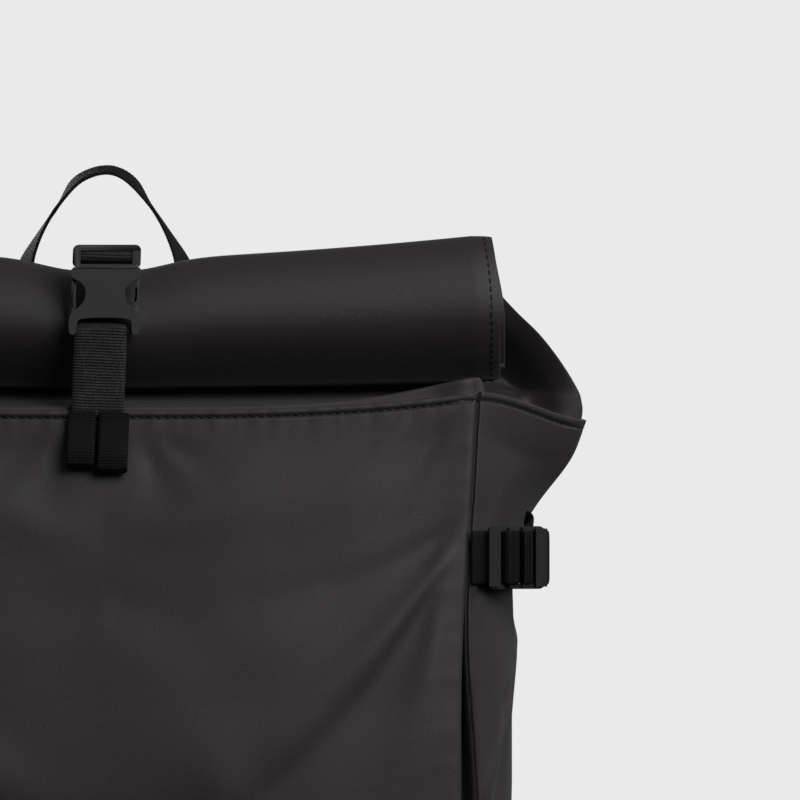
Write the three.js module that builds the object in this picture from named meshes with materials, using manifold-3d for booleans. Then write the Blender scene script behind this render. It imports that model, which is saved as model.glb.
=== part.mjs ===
// Roll-top backpack in coated cloth, closed and standing on its base.
// Millimetres, +Z up. The front faces -Y, the shoulder straps are on the +Y side.

import * as THREE from "three";
import { mergeVertices } from "three/addons/utils/BufferGeometryUtils.js";
import Module from "manifold-3d";

const wasm = await Module();
wasm.setup();

// Driving dimensions of the sewn body
const bodyHeight = 373; // base to the front hem's edge, at the middle
const frontWidth = 288; // between the two front seams at the hem
const sideWidth = 316; // across the bulge of the two side gussets
const earWidth = 373; // across the two ear tips at the hem
const bodyDepth = 118; // front seams to back seams
const frontShare = 0.55; // how much of the depth lies in front of the side crease's plane
const frontBelly = 13; // how far the front panel bulges past its seams
const backBelly = 4; // how far the back panel bulges past its seams
const cornerRise = 7; // hem at the front corners, above the hem's middle
const earDrop = 4; // hem at the ear tips, below the hem's middle
const baseRound = 12; // radius where the walls turn under into the base
const cloth = 1.6; // wall of the sewn body
const baseCloth = 2.2; // base panel
const seamGap = 0.4; // between two cloth pieces along a seam

// Driving dimensions of the collar and its roll
const collarCloth = 1.3; // one layer of the collar
const collarTuck = 15; // how far the collar goes down inside the hem
const collarGap = 0.5; // between the collar and the inside of the hem
const cornerPuff = 8; // how far the collar puffs up above the hem's front corners
const sidePleat = 15; // depth of the dent in the collar beside each end of the roll
const rollLength = 304; // end to end of the roll
const rollHeight = 58; // roll's outside, top to bottom, at its ends
const rollDepth = 33; // roll's outside, front to back
const rollLift = 6; // bottom of the roll above the hem, at the middle
const rollEndLift = 4; // how much higher the roll's bottom is at its ends
const rollTurns = 2.3;
const rollAir = 1.1; // air between two turns
const rollSlope = 6; // how much flatter the roll is at its middle than at its ends
const strapDip = 6; // how much further the closure strap presses the roll down
const dipReach = 40; // how far along the roll that dip spreads

// Driving dimensions of the webbing and plastic
const webWidth = 20;
const webThick = 1.5;
const webGap = 0.4; // between webbing and what it lies on
const buckleWidth = 27.6;
const buckleHeight = 35;
const buckleThick = 7.6;
const buckleRise = 64; // top edge of the buckle above the hem's middle
const wallPlastic = 1.8; // plastic round the buckle's slots and pocket
const fitGap = 0.35; // between the buckle's two halves
const loopLength = 19; // the small webbing loops under the front strap
const loopWidth = 10.8;
const loopSlit = 1.4; // between the two small loops
const loopSpread = 3.4; // inside of a small loop, front to back
const handleRise = 94; // top of the grab handle above the hem's middle
const handleSpan = 76; // between the handle's two sewn ends
const handleArch = 62; // between the handle's legs where they rise past the roll
const handleFoot = 34; // how far each end of the handle goes down the back panel
const sideStrapDrop = 56; // centre of the compression straps below the hem's middle
const sliderLength = 24.5;
const sliderWidth = 24.2;
const sliderThick = 2.4;
const sliderEndBar = 4.8; // the slider's two wide bars
const sliderThinBar = 2; // its two thin ones
const sliderProud = 13; // how far each slider reaches past the gusset's bulge
const sliderTurn = 24; // degrees that the slider is turned away from facing the front
const tailLength = 17; // free end of the webbing past the slider

// Driving dimensions of the shoulder straps
const padWidth = 58;
const padThick = 9;
const padEdge = 0.45; // thickness of a pad's sewn ends, as a share of its middle's
const padDrop = 5; // the pads' upper ends below the ends of the grab handle
const padLength = 216; // of the pads, measured straight down
const padStandOff = 34; // how far a pad's middle stands off the back panel
const padSpacing = 88; // between the pads' centrelines at their tops
const padSplay = 34; // how much further apart their lower ends are
const footHeight = 30; // where the lower webbing is sewn, above the base
const footSpacing = 226; // between the two places where the lower webbing is sewn

const materials = {
  cloth: new THREE.MeshStandardMaterial({ color: 0x343235, roughness: 0.72, metalness: 0 }),
  webbing: new THREE.MeshStandardMaterial({ color: 0x1c1b1d, roughness: 0.9, metalness: 0 }),
  plastic: new THREE.MeshStandardMaterial({ color: 0x2a292b, roughness: 0.5, metalness: 0 }),
  padding: new THREE.MeshStandardMaterial({ color: 0x29282a, roughness: 0.95, metalness: 0 }),
};

// Each row is a level of the sewn body. height is a share of bodyHeight, front of frontWidth, side of
// sideWidth, depth of bodyDepth and belly of the two bellies. ear says how far the side has gone from
// sideWidth out to earWidth.
const bodyLevels = [
  { height: 0.0, front: 0.955, side: 0.92, ear: 0.0, depth: 0.96, belly: 0.1 },
  { height: 0.1, front: 0.957, side: 0.96, ear: 0.0, depth: 1.01, belly: 0.6 },
  { height: 0.3, front: 0.957, side: 0.98, ear: 0.0, depth: 1.05, belly: 1.0 },
  { height: 0.6, front: 0.957, side: 0.99, ear: 0.0, depth: 1.03, belly: 0.9 },
  { height: 0.7, front: 0.959, side: 0.998, ear: 0.0, depth: 1.0, belly: 0.75 },
  { height: 0.76, front: 0.964, side: 1.012, ear: 0.0, depth: 0.97, belly: 0.65 },
  { height: 0.82, front: 0.972, side: 1.0, ear: 0.0, depth: 0.94, belly: 0.5 },
  { height: 0.87, front: 0.98, side: 0.995, ear: 0.06, depth: 0.91, belly: 0.4 },
  { height: 0.91, front: 0.986, side: 1.0, ear: 0.27, depth: 0.89, belly: 0.3 },
  { height: 0.96, front: 0.993, side: 1.0, ear: 0.66, depth: 0.86, belly: 0.2 },
  { height: 1.0, front: 1.0, side: 1.0, ear: 1.0, depth: 0.84, belly: 0.15 },
];

// Soft folds pressed into or out of the front panel. The ends are shares of half the front's width and
// of bodyHeight, width is a share of frontWidth, and relief a share of frontBelly, outwards if positive.
const frontFolds = [
  { fromAcross: 0.97, fromUp: 0.83, toAcross: 0.3, toUp: 0.62, width: 0.07, relief: 0.35 },
  { fromAcross: 0.93, fromUp: 0.88, toAcross: 0.45, toUp: 0.8, width: 0.06, relief: -0.3 },
  { fromAcross: 0.9, fromUp: 0.72, toAcross: 0.62, toUp: 0.4, width: 0.09, relief: -0.45 },
  { fromAcross: 0.12, fromUp: 0.9, toAcross: 0.22, toUp: 0.8, width: 0.05, relief: -0.2 },
];

// Each row is a step of the collar on its way from the hem up to the back of the roll. frontIn, earIn and
// backIn say how far the front wall, the side fold and the back wall have come from the hem towards the
// roll's back, frontUp, earUp and backUp how far they have risen to it. hem says how much is left of the
// hem's own rise and fall, narrow how far the width has gone from the hem's to the roll's, and puff and
// pleat are shares of cornerPuff and sidePleat.
const collarSteps = [
  {
    frontIn: 0.06, earIn: 0.03, backIn: 0.04, frontUp: 0.03, earUp: 0.12, backUp: 0.14,
    hem: 1.0, narrow: 0.03, puff: 1.0, pleat: 0.1,
  },
  {
    frontIn: 0.45, earIn: 0.12, backIn: 0.18, frontUp: 0.05, earUp: 0.29, backUp: 0.34,
    hem: 0.3, narrow: 0.11, puff: 0.1, pleat: 0.6,
  },
  {
    frontIn: 0.92, earIn: 0.3, backIn: 0.42, frontUp: 0.13, earUp: 0.47, backUp: 0.58,
    hem: 0.0, narrow: 0.27, puff: 0.0, pleat: 1.0,
  },
  {
    frontIn: 1.06, earIn: 0.55, backIn: 0.7, frontUp: 0.42, earUp: 0.68, backUp: 0.78,
    hem: 0.0, narrow: 0.51, puff: 0.0, pleat: 0.9,
  },
  {
    frontIn: 1.05, earIn: 0.8, backIn: 0.88, frontUp: 0.7, earUp: 0.85, backUp: 0.91,
    hem: 0.0, narrow: 0.76, puff: 0.0, pleat: 0.45,
  },
];

// Mesh counts
const frontSteps = 16;
const gussetSteps = 10;
const levelRows = [0.1, 0.2, 0.32, 0.44, 0.55, 0.64, 0.7, 0.76, 0.82, 0.87, 0.91];
const roundRows = [0, 0.1, 0.35, 1];
const rollStepsPerTurn = 14;

// Small helpers

const lerp = THREE.MathUtils.lerp;
const smooth = THREE.MathUtils.smoothstep;

// A column of a table at a level between its rows, on a smooth curve through the rows.
function readTable(table, key, at, column) {
  const last = table.length - 1;
  let i = 0;
  while (i < last - 1 && at > table[i + 1][key]) {
    i += 1;
  }
  const slope = (k) => {
    const a = table[Math.max(k - 1, 0)];
    const b = table[Math.min(k + 1, last)];
    return (b[column] - a[column]) / (b[key] - a[key]);
  };
  const span = table[i + 1][key] - table[i][key];
  const t = THREE.MathUtils.clamp((at - table[i][key]) / span, 0, 1);
  const rise = table[i + 1][column] - table[i][column];
  const start = slope(i) * span;
  const end = slope(i + 1) * span;
  return table[i][column] + start * t + (3 * rise - 2 * start - end) * t * t
    + (start + end - 2 * rise) * t * t * t;
}

// A closed body between an outer and an inner grid of points, both given as rows from bottom to top.
// The columns run counter-clockwise as seen from above. A closed grid joins its last column to its first.
function sheetBody(outer, inner, closed = false) {
  const rows = outer.length;
  const columns = outer[0].length;
  const points = [...outer.flat(), ...inner.flat()];
  const at = (layer, row, column) => (layer * rows + row) * columns + (column % columns);
  const faces = [];
  const quad = (a, b, c, d) => faces.push(a, b, c, a, c, d);
  const spans = closed ? columns : columns - 1;
  for (let r = 0; r < rows - 1; r += 1) {
    for (let c = 0; c < spans; c += 1) {
      quad(at(0, r, c), at(0, r, c + 1), at(0, r + 1, c + 1), at(0, r + 1, c));
      quad(at(1, r, c), at(1, r + 1, c), at(1, r + 1, c + 1), at(1, r, c + 1));
    }
  }
  for (let c = 0; c < spans; c += 1) {
    quad(at(1, 0, c), at(1, 0, c + 1), at(0, 0, c + 1), at(0, 0, c));
    quad(at(0, rows - 1, c), at(0, rows - 1, c + 1), at(1, rows - 1, c + 1), at(1, rows - 1, c));
  }
  if (!closed) {
    for (let r = 0; r < rows - 1; r += 1) {
      quad(at(1, r, 0), at(0, r, 0), at(0, r + 1, 0), at(1, r + 1, 0));
      const last = columns - 1;
      quad(at(0, r, last), at(1, r, last), at(1, r + 1, last), at(0, r + 1, last));
    }
  }
  return geometryFrom(points, faces);
}

function geometryFrom(points, faces) {
  const geometry = new THREE.BufferGeometry();
  const numbers = points.flatMap((p) => p.toArray());
  geometry.setAttribute("position", new THREE.Float32BufferAttribute(numbers, 3));
  geometry.setIndex(faces);
  geometry.computeVertexNormals();
  return geometry;
}

// The outward normals of a grid whose columns go counter-clockwise and whose rows go up.
function gridNormals(grid, closed) {
  const rows = grid.length;
  const columns = grid[0].length;
  return grid.map((row, r) => row.map((point, c) => {
    const left = closed ? (c + columns - 1) % columns : Math.max(c - 1, 0);
    const right = closed ? (c + 1) % columns : Math.min(c + 1, columns - 1);
    const along = new THREE.Vector3().subVectors(row[right], row[left]);
    const above = grid[Math.min(r + 1, rows - 1)][c];
    const below = grid[Math.max(r - 1, 0)][c];
    const up = new THREE.Vector3().subVectors(above, below);
    return along.cross(up).normalize();
  }));
}

// Sewn body: one lofted form, cut into its panels along the four seams

function bodyLevel(share) {
  const read = (column) => readTable(bodyLevels, "height", share, column);
  const seam = (read("front") * frontWidth) / 2;
  const side = (read("side") * sideWidth) / 2;
  const ear = Math.max(read("ear"), 0);
  const depth = read("depth") * bodyDepth;
  return {
    seam,
    ear,
    side: side + (ear * (earWidth - sideWidth)) / 2,
    front: -frontShare * depth,
    back: depth * (1 - frontShare),
    belly: read("belly"),
  };
}

// How far the folds push the front panel out at a place given in shares.
function foldRelief(across, up) {
  let relief = 0;
  for (const fold of frontFolds) {
    const from = new THREE.Vector2((fold.fromAcross * frontWidth) / 2, fold.fromUp * bodyHeight);
    const to = new THREE.Vector2((fold.toAcross * frontWidth) / 2, fold.toUp * bodyHeight);
    const point = new THREE.Vector2((across * frontWidth) / 2, up * bodyHeight);
    const line = new THREE.Vector2().subVectors(to, from);
    const along = THREE.MathUtils.clamp(point.clone().sub(from).dot(line) / line.lengthSq(), 0, 1);
    const away = point.distanceTo(from.addScaledVector(line, along)) / (fold.width * frontWidth);
    relief += fold.relief * frontBelly * Math.exp(-away * away) * (1 - 0.6 * along);
  }
  return relief;
}

// The loft's outside. panel is front, right, back or left, across goes from 0 to 1 counter-clockwise as
// seen from above, and up is a share of the hem's height there.
function bodyPoint(panel, across, up) {
  const level = bodyLevel(up);
  const point = new THREE.Vector3();
  let hem = bodyHeight;
  if (panel === "front") {
    const side = 2 * across - 1;
    const fade = 1 - Math.abs(side) ** 3;
    const fold = foldRelief(side, up) + foldRelief(-side, up);
    point.x = level.seam * side;
    point.y = level.front - (level.belly * frontBelly + fold * smooth(1 - up, 0, 0.08)) * fade;
    hem += cornerRise * Math.abs(side) ** 3;
  } else if (panel === "back") {
    const side = 1 - 2 * across;
    point.x = level.seam * side;
    point.y = level.back + level.belly * backBelly * (1 - side ** 4);
  } else {
    const turn = panel === "right" ? across : 1 - across;
    const away = Math.abs(2 * turn - 1);
    const round = 1 - away ** 2.4;
    const creased = 1 - away ** 1.15;
    const bulge = lerp(round, creased, Math.min(level.ear * 1.4, 1));
    point.x = (panel === "right" ? 1 : -1) * lerp(level.seam, level.side, bulge);
    point.y = lerp(level.front, level.back, turn);
    const toEar = lerp(cornerRise, -earDrop, smooth(turn, 0, 0.5));
    const toBack = lerp(-earDrop, 0, smooth(turn, 0.5, 1));
    hem += turn < 0.5 ? toEar : toBack;
  }
  point.z = hem * up;
  return point;
}

// The same outside where the wall turns under: turn goes from 0 at the base to 1 at the top of the round.
function roundedPoint(panel, across, turn) {
  const height = turn * baseRound;
  const point = bodyPoint(panel, across, height / bodyHeight);
  const inset = baseRound * (1 - Math.sqrt(1 - (1 - turn) ** 2));
  point.x *= 1 - inset / (frontWidth / 2);
  point.y *= 1 - inset / (bodyDepth / 2);
  point.z = height;
  return point;
}

const panelSteps = { front: frontSteps, right: gussetSteps, back: frontSteps, left: gussetSteps };
const tuckShare = 1 - collarTuck / bodyHeight;

function bodyRow(placePoint) {
  const row = [];
  for (const [panel, steps] of Object.entries(panelSteps)) {
    for (let i = 0; i < steps; i += 1) {
      row.push(placePoint(panel, i / steps));
    }
  }
  return row;
}

const bodyOuter = [
  ...roundRows.map((turn) => bodyRow((panel, across) => roundedPoint(panel, across, turn))),
  ...[...levelRows, tuckShare, 1].map((up) => bodyRow((panel, across) => bodyPoint(panel, across, up))),
];
const bodyNormals = gridNormals(bodyOuter, true);

// The loft's surface moved inwards. The lowest row moves straight up, so that it meets the base squarely.
function bodyInset(depth) {
  return bodyOuter.map((row, r) => row.map((point, c) => {
    const inward = r === 0 ? new THREE.Vector3(0, 0, 1) : bodyNormals[r][c].clone().negate();
    return point.clone().addScaledVector(inward, depth);
  }));
}

const bodyInner = bodyInset(cloth);

// One panel: its columns of the two grids, its ends drawn in to leave the seam's gap.
function bodyPanel(panel) {
  const names = Object.keys(panelSteps);
  const before = names.slice(0, names.indexOf(panel)).reduce((sum, name) => sum + panelSteps[name], 0);
  const steps = panelSteps[panel];
  const cut = (grid) => grid.map((row) => {
    const part = [];
    for (let i = 0; i <= steps; i += 1) {
      part.push(row[(before + i) % row.length].clone());
    }
    const pull = (end, next) => part[end].addScaledVector(
      new THREE.Vector3().subVectors(part[next], part[end]).normalize(), seamGap / 2);
    pull(0, 1);
    pull(steps, steps - 1);
    return part;
  });
  return sheetBody(cut(bodyOuter), cut(bodyInner));
}

function basePanel() {
  const outline = bodyOuter[0].map((p) => {
    const length = Math.hypot(p.x, p.y);
    const keep = 1 - (seamGap * 1.6) / length;
    return new THREE.Vector2(p.x * keep, p.y * keep);
  });
  return new THREE.ExtrudeGeometry(new THREE.Shape(outline), { depth: baseCloth, bevelEnabled: false });
}

// Collar: a tube from inside the hem, flattened at the back of the roll and wound into the roll

const hemLevel = bodyLevel(1);
const bandThick = 2 * collarCloth;
const rollFront = hemLevel.front;
const rollBottom = bodyHeight + rollLift;
const rollPitch = bandThick + rollAir;
const rollCentre = { y: rollFront + rollDepth / 2, z: rollBottom + rollHeight / 2 };
const rollStart = 0.2; // angle where the flattened collar meets the roll, in radians above the back

// How high the roll is at a distance along it, as a share of its height at the ends.
function rollShare(x) {
  const away = Math.max(Math.abs(x) - webWidth / 2, 0);
  const half = rollLength / 2;
  const slope = rollSlope * Math.max(1 - away / half, 0);
  const dip = strapDip * Math.exp(-((away / dipReach) ** 2));
  return 1 - (slope + dip) / rollHeight;
}

// Where the strap's pull and the roll's raised ends put a height above the hem.
function pressed(x, z) {
  const lift = rollEndLift * (x / (rollLength / 2)) ** 2;
  if (z <= rollBottom) {
    return z + (lift * Math.max(z - bodyHeight, 0)) / rollLift;
  }
  return rollBottom + lift + (z - rollBottom) * rollShare(x);
}

// The roll's middle line at an angle that grows from the back over the top to the front.
function rollLine(angle) {
  const inward = (rollPitch * (angle - rollStart)) / (2 * Math.PI);
  const reachY = rollDepth / 2 - bandThick / 2 - inward;
  const reachZ = rollHeight / 2 - bandThick / 2 - inward;
  const square = 0.85;
  const bend = (value) => Math.sign(value) * Math.abs(value) ** square;
  const y = rollCentre.y + reachY * bend(Math.cos(angle));
  const z = rollCentre.z + reachZ * bend(Math.sin(angle));
  return new THREE.Vector2(y, z);
}

function rollNormal(angle) {
  const step = 0.02;
  const along = rollLine(angle + step).sub(rollLine(angle - step)).normalize();
  return new THREE.Vector2(along.y, -along.x);
}

// The collar's columns are the hem's. share goes from -1 to 1 along the front or back layer between the
// ear tips, and layer is -1 in front, 1 at the back and 0 on the fold.
const collarHem = bodyRow((panel, across) => bodyPoint(panel, across, 1));
const earRight = frontSteps + gussetSteps / 2;
const earLeft = collarHem.length - gussetSteps / 2;

function arcShares() {
  const count = collarHem.length;
  const half = count / 2;
  const lengths = [0];
  for (let i = 1; i <= half; i += 1) {
    const a = collarHem[(earLeft + i - 1) % count];
    const b = collarHem[(earLeft + i) % count];
    lengths.push(lengths[i - 1] + a.distanceTo(b));
  }
  return lengths.map((length) => (2 * length) / lengths[half] - 1);
}

const frontShares = arcShares();

function columnInfo(column) {
  const count = collarHem.length;
  const fromLeft = (column - earLeft + count) % count;
  const half = count / 2;
  if (fromLeft === 0 || fromLeft === half) {
    return { share: fromLeft === 0 ? -1 : 1, layer: 0, partner: column };
  }
  const inFront = fromLeft < half;
  const partner = (earLeft + count - fromLeft) % count;
  return { share: frontShares[inFront ? fromLeft : count - fromLeft], layer: inFront ? -1 : 1, partner };
}

const columnsInfo = collarHem.map((point, column) => columnInfo(column));
const ear = collarHem[earRight];

// One step of the collar between the hem and the roll.
function collarRow(step, hemRow) {
  const meet = rollLine(rollStart);
  return hemRow.map((hem, column) => {
    const { share, layer } = columnsInfo[column];
    const wall = layer > 0 ? "back" : "front";
    const hemWall = layer > 0 ? hemLevel.back - cloth : hemLevel.front + cloth;
    const away = THREE.MathUtils.clamp((hem.y - hemWall) / (ear.y - hemWall), 0, 1);
    const x = lerp(hem.x, (share * rollLength) / 2, step.narrow);
    const wallY = lerp(hemWall, meet.x, step[`${wall}In`]);
    const earY = lerp(ear.y, meet.x, step.earIn);
    const rise = lerp(step[`${wall}Up`], step.earUp, away) * (meet.y - bodyHeight);
    const corner = hemLevel.seam / ear.x;
    const nearCorner = Math.exp(-(((Math.abs(hem.x) / ear.x - corner) / 0.16) ** 2));
    const puff = layer < 0 ? step.puff * cornerPuff * nearCorner : 0;
    const dent = layer < 0 ? step.pleat * sidePleat * Math.sin(Math.PI * away) ** 2 : 0;
    const height = pressed(x, bodyHeight + rise) + (hem.z - bodyHeight) * step.hem + puff;
    return new THREE.Vector3(x - Math.sign(x) * dent, lerp(wallY, earY, away) + dent * 0.3, height);
  });
}

function rollRow(angle) {
  const line = rollLine(angle);
  const normal = rollNormal(angle);
  return columnsInfo.map(({ share, layer }) => {
    const x = (share * rollLength) / 2;
    const y = line.x + (normal.x * layer * bandThick) / 2;
    const z = line.y + (normal.y * layer * bandThick) / 2;
    return new THREE.Vector3(x, y, pressed(x, z));
  });
}

const collarInset = bodyInset(cloth + collarGap);
const hemRows = collarInset.slice(-2);
const tubeRows = [...hemRows, ...collarSteps.map((step) => collarRow(step, hemRows[1]))];
const rollCount = Math.round(rollTurns * rollStepsPerTurn);
const rollAngles = Array.from({ length: rollCount + 1 }, (none, i) => (
  rollStart + (2 * Math.PI * rollTurns * i) / rollCount));
const rollRows = rollAngles.map(rollRow);

// The tube's inside: each point moves towards its partner on the other layer, never past the middle.
function tubeInside(row) {
  return row.map((point, column) => {
    const { layer, partner } = columnsInfo[column];
    if (layer === 0) {
      return point.clone().setX(point.x - Math.sign(point.x) * 3 * collarCloth);
    }
    const across = new THREE.Vector3().subVectors(row[partner], point);
    const width = across.length();
    return point.clone().addScaledVector(across.normalize(), Math.min(1.2 * collarCloth, 0.3 * width));
  });
}

function collarBody() {
  const outer = [...tubeRows, ...rollRows];
  const inner = tubeRows.map(tubeInside);
  const columns = collarHem.length;
  const points = [...outer.flat(), ...inner.flat()];
  const outerAt = (row, column) => row * columns + (column % columns);
  const innerAt = (row, column) => outer.length * columns + row * columns + (column % columns);
  const faces = [];
  const quad = (a, b, c, d) => faces.push(a, b, c, a, c, d);
  for (let c = 0; c < columns; c += 1) {
    for (let r = 0; r < outer.length - 1; r += 1) {
      quad(outerAt(r, c), outerAt(r, c + 1), outerAt(r + 1, c + 1), outerAt(r + 1, c));
    }
    for (let r = 0; r < inner.length - 1; r += 1) {
      quad(innerAt(r, c), innerAt(r + 1, c), innerAt(r + 1, c + 1), innerAt(r, c + 1));
    }
    quad(innerAt(0, c), innerAt(0, c + 1), outerAt(0, c + 1), outerAt(0, c));
  }
  // The cut end inside the roll and the top of the tube are closed from one fold to the other.
  const zip = (pointAt, row, outwards) => {
    for (let i = 0; i < columns / 2; i += 1) {
      const front = [(earLeft + i) % columns, (earLeft + i + 1) % columns];
      const back = front.map((column) => columnsInfo[column].partner);
      const ring = [front[0], front[1], back[1], back[0]].map((column) => pointAt(row, column));
      const corners = ring.filter((corner, k) => ring.indexOf(corner) === k);
      for (let k = 1; k < corners.length - 1; k += 1) {
        const ahead = [corners[k], corners[k + 1]];
        faces.push(corners[0], ...(outwards ? ahead : ahead.reverse()));
      }
    }
  };
  zip(outerAt, outer.length - 1, true);
  zip(innerAt, inner.length - 1, false);
  return geometryFrom(points, faces);
}

// Webbing: a strip of even thickness along a line drawn in a plane, as wide as the webbing

function stripOutline(line, thick) {
  const sides = [[], []];
  line.forEach((point, i) => {
    const before = line[Math.max(i - 1, 0)];
    const after = line[Math.min(i + 1, line.length - 1)];
    const incoming = new THREE.Vector2().subVectors(point, before).normalize();
    const outgoing = new THREE.Vector2().subVectors(after, point).normalize();
    const along = new THREE.Vector2().addVectors(incoming, outgoing).normalize();
    const sharp = Math.max(along.dot(incoming.lengthSq() > 0 ? incoming : outgoing), 0.5);
    const side = new THREE.Vector2(-along.y, along.x).multiplyScalar(thick / 2 / sharp);
    sides[0].push(point.clone().add(side));
    sides[1].push(point.clone().sub(side));
  });
  return new THREE.Shape([...sides[0], ...sides[1].reverse()]);
}

// A strip whose line is drawn in the plane of depth and height, spread along X.
function uprightStrip(line, width, thick, centreX) {
  const strip = new THREE.ExtrudeGeometry(stripOutline(line, thick), { depth: width, bevelEnabled: false });
  // (y, z, spread) becomes (spread, y, z)
  const turned = new THREE.Matrix4().set(0, 0, 1, centreX - width / 2, 1, 0, 0, 0, 0, 1, 0, 0, 0, 0, 0, 1);
  strip.applyMatrix4(turned);
  return strip;
}

// A strip whose line is drawn in plan, spread along Z.
function levelStrip(line, width, thick, centreZ) {
  const strip = new THREE.ExtrudeGeometry(stripOutline(line, thick), { depth: width, bevelEnabled: false });
  strip.translate(0, 0, centreZ - width / 2);
  return strip;
}

function smoothLine(points, steps) {
  return new THREE.SplineCurve(points).getPoints(steps);
}

// A strip that may twist: its middle line in space, and the direction of its width at each point.
function twistedStrip(line, widths, half, thick) {
  const rows = [];
  const inner = [];
  line.forEach((point, i) => {
    const before = line[Math.max(i - 1, 0)];
    const after = line[Math.min(i + 1, line.length - 1)];
    const along = new THREE.Vector3().subVectors(after, before);
    const face = new THREE.Vector3().crossVectors(along, widths[i]).normalize().multiplyScalar(thick / 2);
    const reach = widths[i].clone().multiplyScalar(half(i));
    rows.push([point.clone().sub(reach).add(face), point.clone().add(reach).add(face)].reverse());
    inner.push([point.clone().sub(reach).sub(face), point.clone().add(reach).sub(face)].reverse());
  });
  return sheetBody(rows, inner);
}

// Front closure

const buckleTop = bodyHeight + buckleRise;
const buckleBottom = buckleTop - buckleHeight;
const barThick = 2.6;
const frameHeight = 9.2;
const frameBase = buckleTop - frameHeight;
const slotHeight = frameHeight - 2 * barThick;
const slotWidth = webWidth + 1.2;
const rollFace = rollFront - webGap;
const buckleY = rollFace - webGap - buckleThick / 2;
const buckleFront = buckleY - buckleThick / 2;
const tongueThick = buckleThick - 2 * wallPlastic - 2 * fitGap;

// The outline of the female half, from its bottom edge up: an hourglass with two feet.
function bucklePlan() {
  const half = buckleWidth / 2;
  const waist = half * 0.72;
  const height = frameBase - fitGap - buckleBottom;
  const shape = new THREE.Shape();
  shape.moveTo(-half + 1.4, 0);
  shape.lineTo(half - 1.4, 0);
  shape.quadraticCurveTo(half, 0, half, 1.6);
  shape.lineTo(half, height * 0.26);
  shape.bezierCurveTo(half, height * 0.42, waist, height * 0.42, waist, height * 0.6);
  shape.bezierCurveTo(waist, height * 0.8, half * 0.92, height * 0.82, half * 0.95, height);
  shape.lineTo(-half * 0.95, height);
  shape.bezierCurveTo(-half * 0.92, height * 0.82, -waist, height * 0.8, -waist, height * 0.6);
  shape.bezierCurveTo(-waist, height * 0.42, -half, height * 0.42, -half, height * 0.26);
  shape.lineTo(-half, 1.6);
  shape.quadraticCurveTo(-half, 0, -half + 1.4, 0);
  return shape;
}

function roundedRect(width, height, radius) {
  const shape = new THREE.Shape();
  const x = width / 2 - radius;
  const y = height / 2 - radius;
  shape.absarc(x, -y, radius, -Math.PI / 2, 0);
  shape.absarc(x, y, radius, 0, Math.PI / 2);
  shape.absarc(-x, y, radius, Math.PI / 2, Math.PI);
  shape.absarc(-x, -y, radius, Math.PI, 1.5 * Math.PI);
  return shape;
}

// A plate drawn in the plane of width and height, from its front face at y back by thick.
function plate(shape, thick, y, z) {
  const options = { depth: thick, bevelEnabled: false, curveSegments: 4 };
  const geometry = new THREE.ExtrudeGeometry(shape, options);
  geometry.rotateX(Math.PI / 2);
  geometry.translate(0, y + thick, z);
  return geometry;
}

function solidOf(geometry) {
  const bare = geometry.clone();
  bare.deleteAttribute("normal");
  bare.deleteAttribute("uv");
  const merged = mergeVertices(bare, 1e-3);
  return new wasm.Manifold(new wasm.Mesh({
    numProp: 3,
    vertProperties: new Float32Array(merged.attributes.position.array),
    triVerts: new Uint32Array(merged.index.array),
  }));
}

function geometryOf(solid) {
  const mesh = solid.getMesh();
  const geometry = new THREE.BufferGeometry();
  geometry.setAttribute("position", new THREE.Float32BufferAttribute(mesh.vertProperties, 3));
  geometry.setIndex([...mesh.triVerts]);
  geometry.computeVertexNormals();
  return geometry;
}

function block(width, depth, height, x, y, z) {
  return solidOf(new THREE.BoxGeometry(width, depth, height).translate(x, y, z));
}

const maleThick = buckleThick * 0.8;
const maleSlotZ = frameBase + frameHeight / 2;

function buckleMale() {
  const frame = solidOf(plate(roundedRect(buckleWidth * 0.95, frameHeight, 2), maleThick,
    buckleY - maleThick / 2, maleSlotZ));
  const slot = block(slotWidth, buckleThick * 2, slotHeight, 0, buckleY, maleSlotZ);
  const prongReach = (frameBase - buckleBottom) * 0.62;
  let male = frame.subtract(slot);
  for (const side of [-1, 0, 1]) {
    const width = side === 0 ? 3 : 2.4;
    male = male.add(block(width, tongueThick, prongReach + 1, side * buckleWidth * 0.25, buckleY,
      frameBase - prongReach / 2 + 0.5));
  }
  return geometryOf(male);
}

// The bar in the female half that the lower strap goes round lies in its rear half, between the feet.
const lowBar = {
  top: buckleBottom + barThick,
  front: buckleY + 0.2,
  back: buckleY + buckleThick / 2 - 0.9,
};

function buckleFemale() {
  const height = frameBase - fitGap - buckleBottom;
  const notchTop = lowBar.top + slotHeight;
  const body = solidOf(plate(bucklePlan(), buckleThick, buckleFront, buckleBottom));
  const pocketWidth = buckleWidth * 0.64;
  const pocket = block(pocketWidth, tongueThick + 2 * fitGap, height * 1.44, 0, buckleY, frameBase);
  const slot = block(slotWidth, buckleThick * 2, slotHeight, 0, buckleY, notchTop - slotHeight / 2);
  const notchY = lowBar.front - buckleThick / 2;
  const notch = block(slotWidth, buckleThick, notchTop - buckleBottom + 1, 0, notchY,
    (notchTop + buckleBottom - 1) / 2);
  const behindY = lowBar.back + buckleThick / 2;
  const behind = block(slotWidth, buckleThick, barThick + 2, 0, behindY, buckleBottom + barThick / 2);
  let female = body.subtract(pocket).subtract(slot).subtract(notch).subtract(behind);
  for (const side of [-1, 1]) {
    female = female.subtract(block(2.2, buckleThick * 2, height * 0.2, side * buckleWidth * 0.345, buckleY,
      buckleBottom + height * 0.44));
  }
  return geometryOf(female);
}

// The line of the collar's back wall at its middle column, from the hem up to the roll.
const backColumn = frontSteps + gussetSteps + frontSteps / 2;
const backWall = tubeRows.slice(1).map((row) => new THREE.Vector2(row[backColumn].y, row[backColumn].z));

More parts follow.
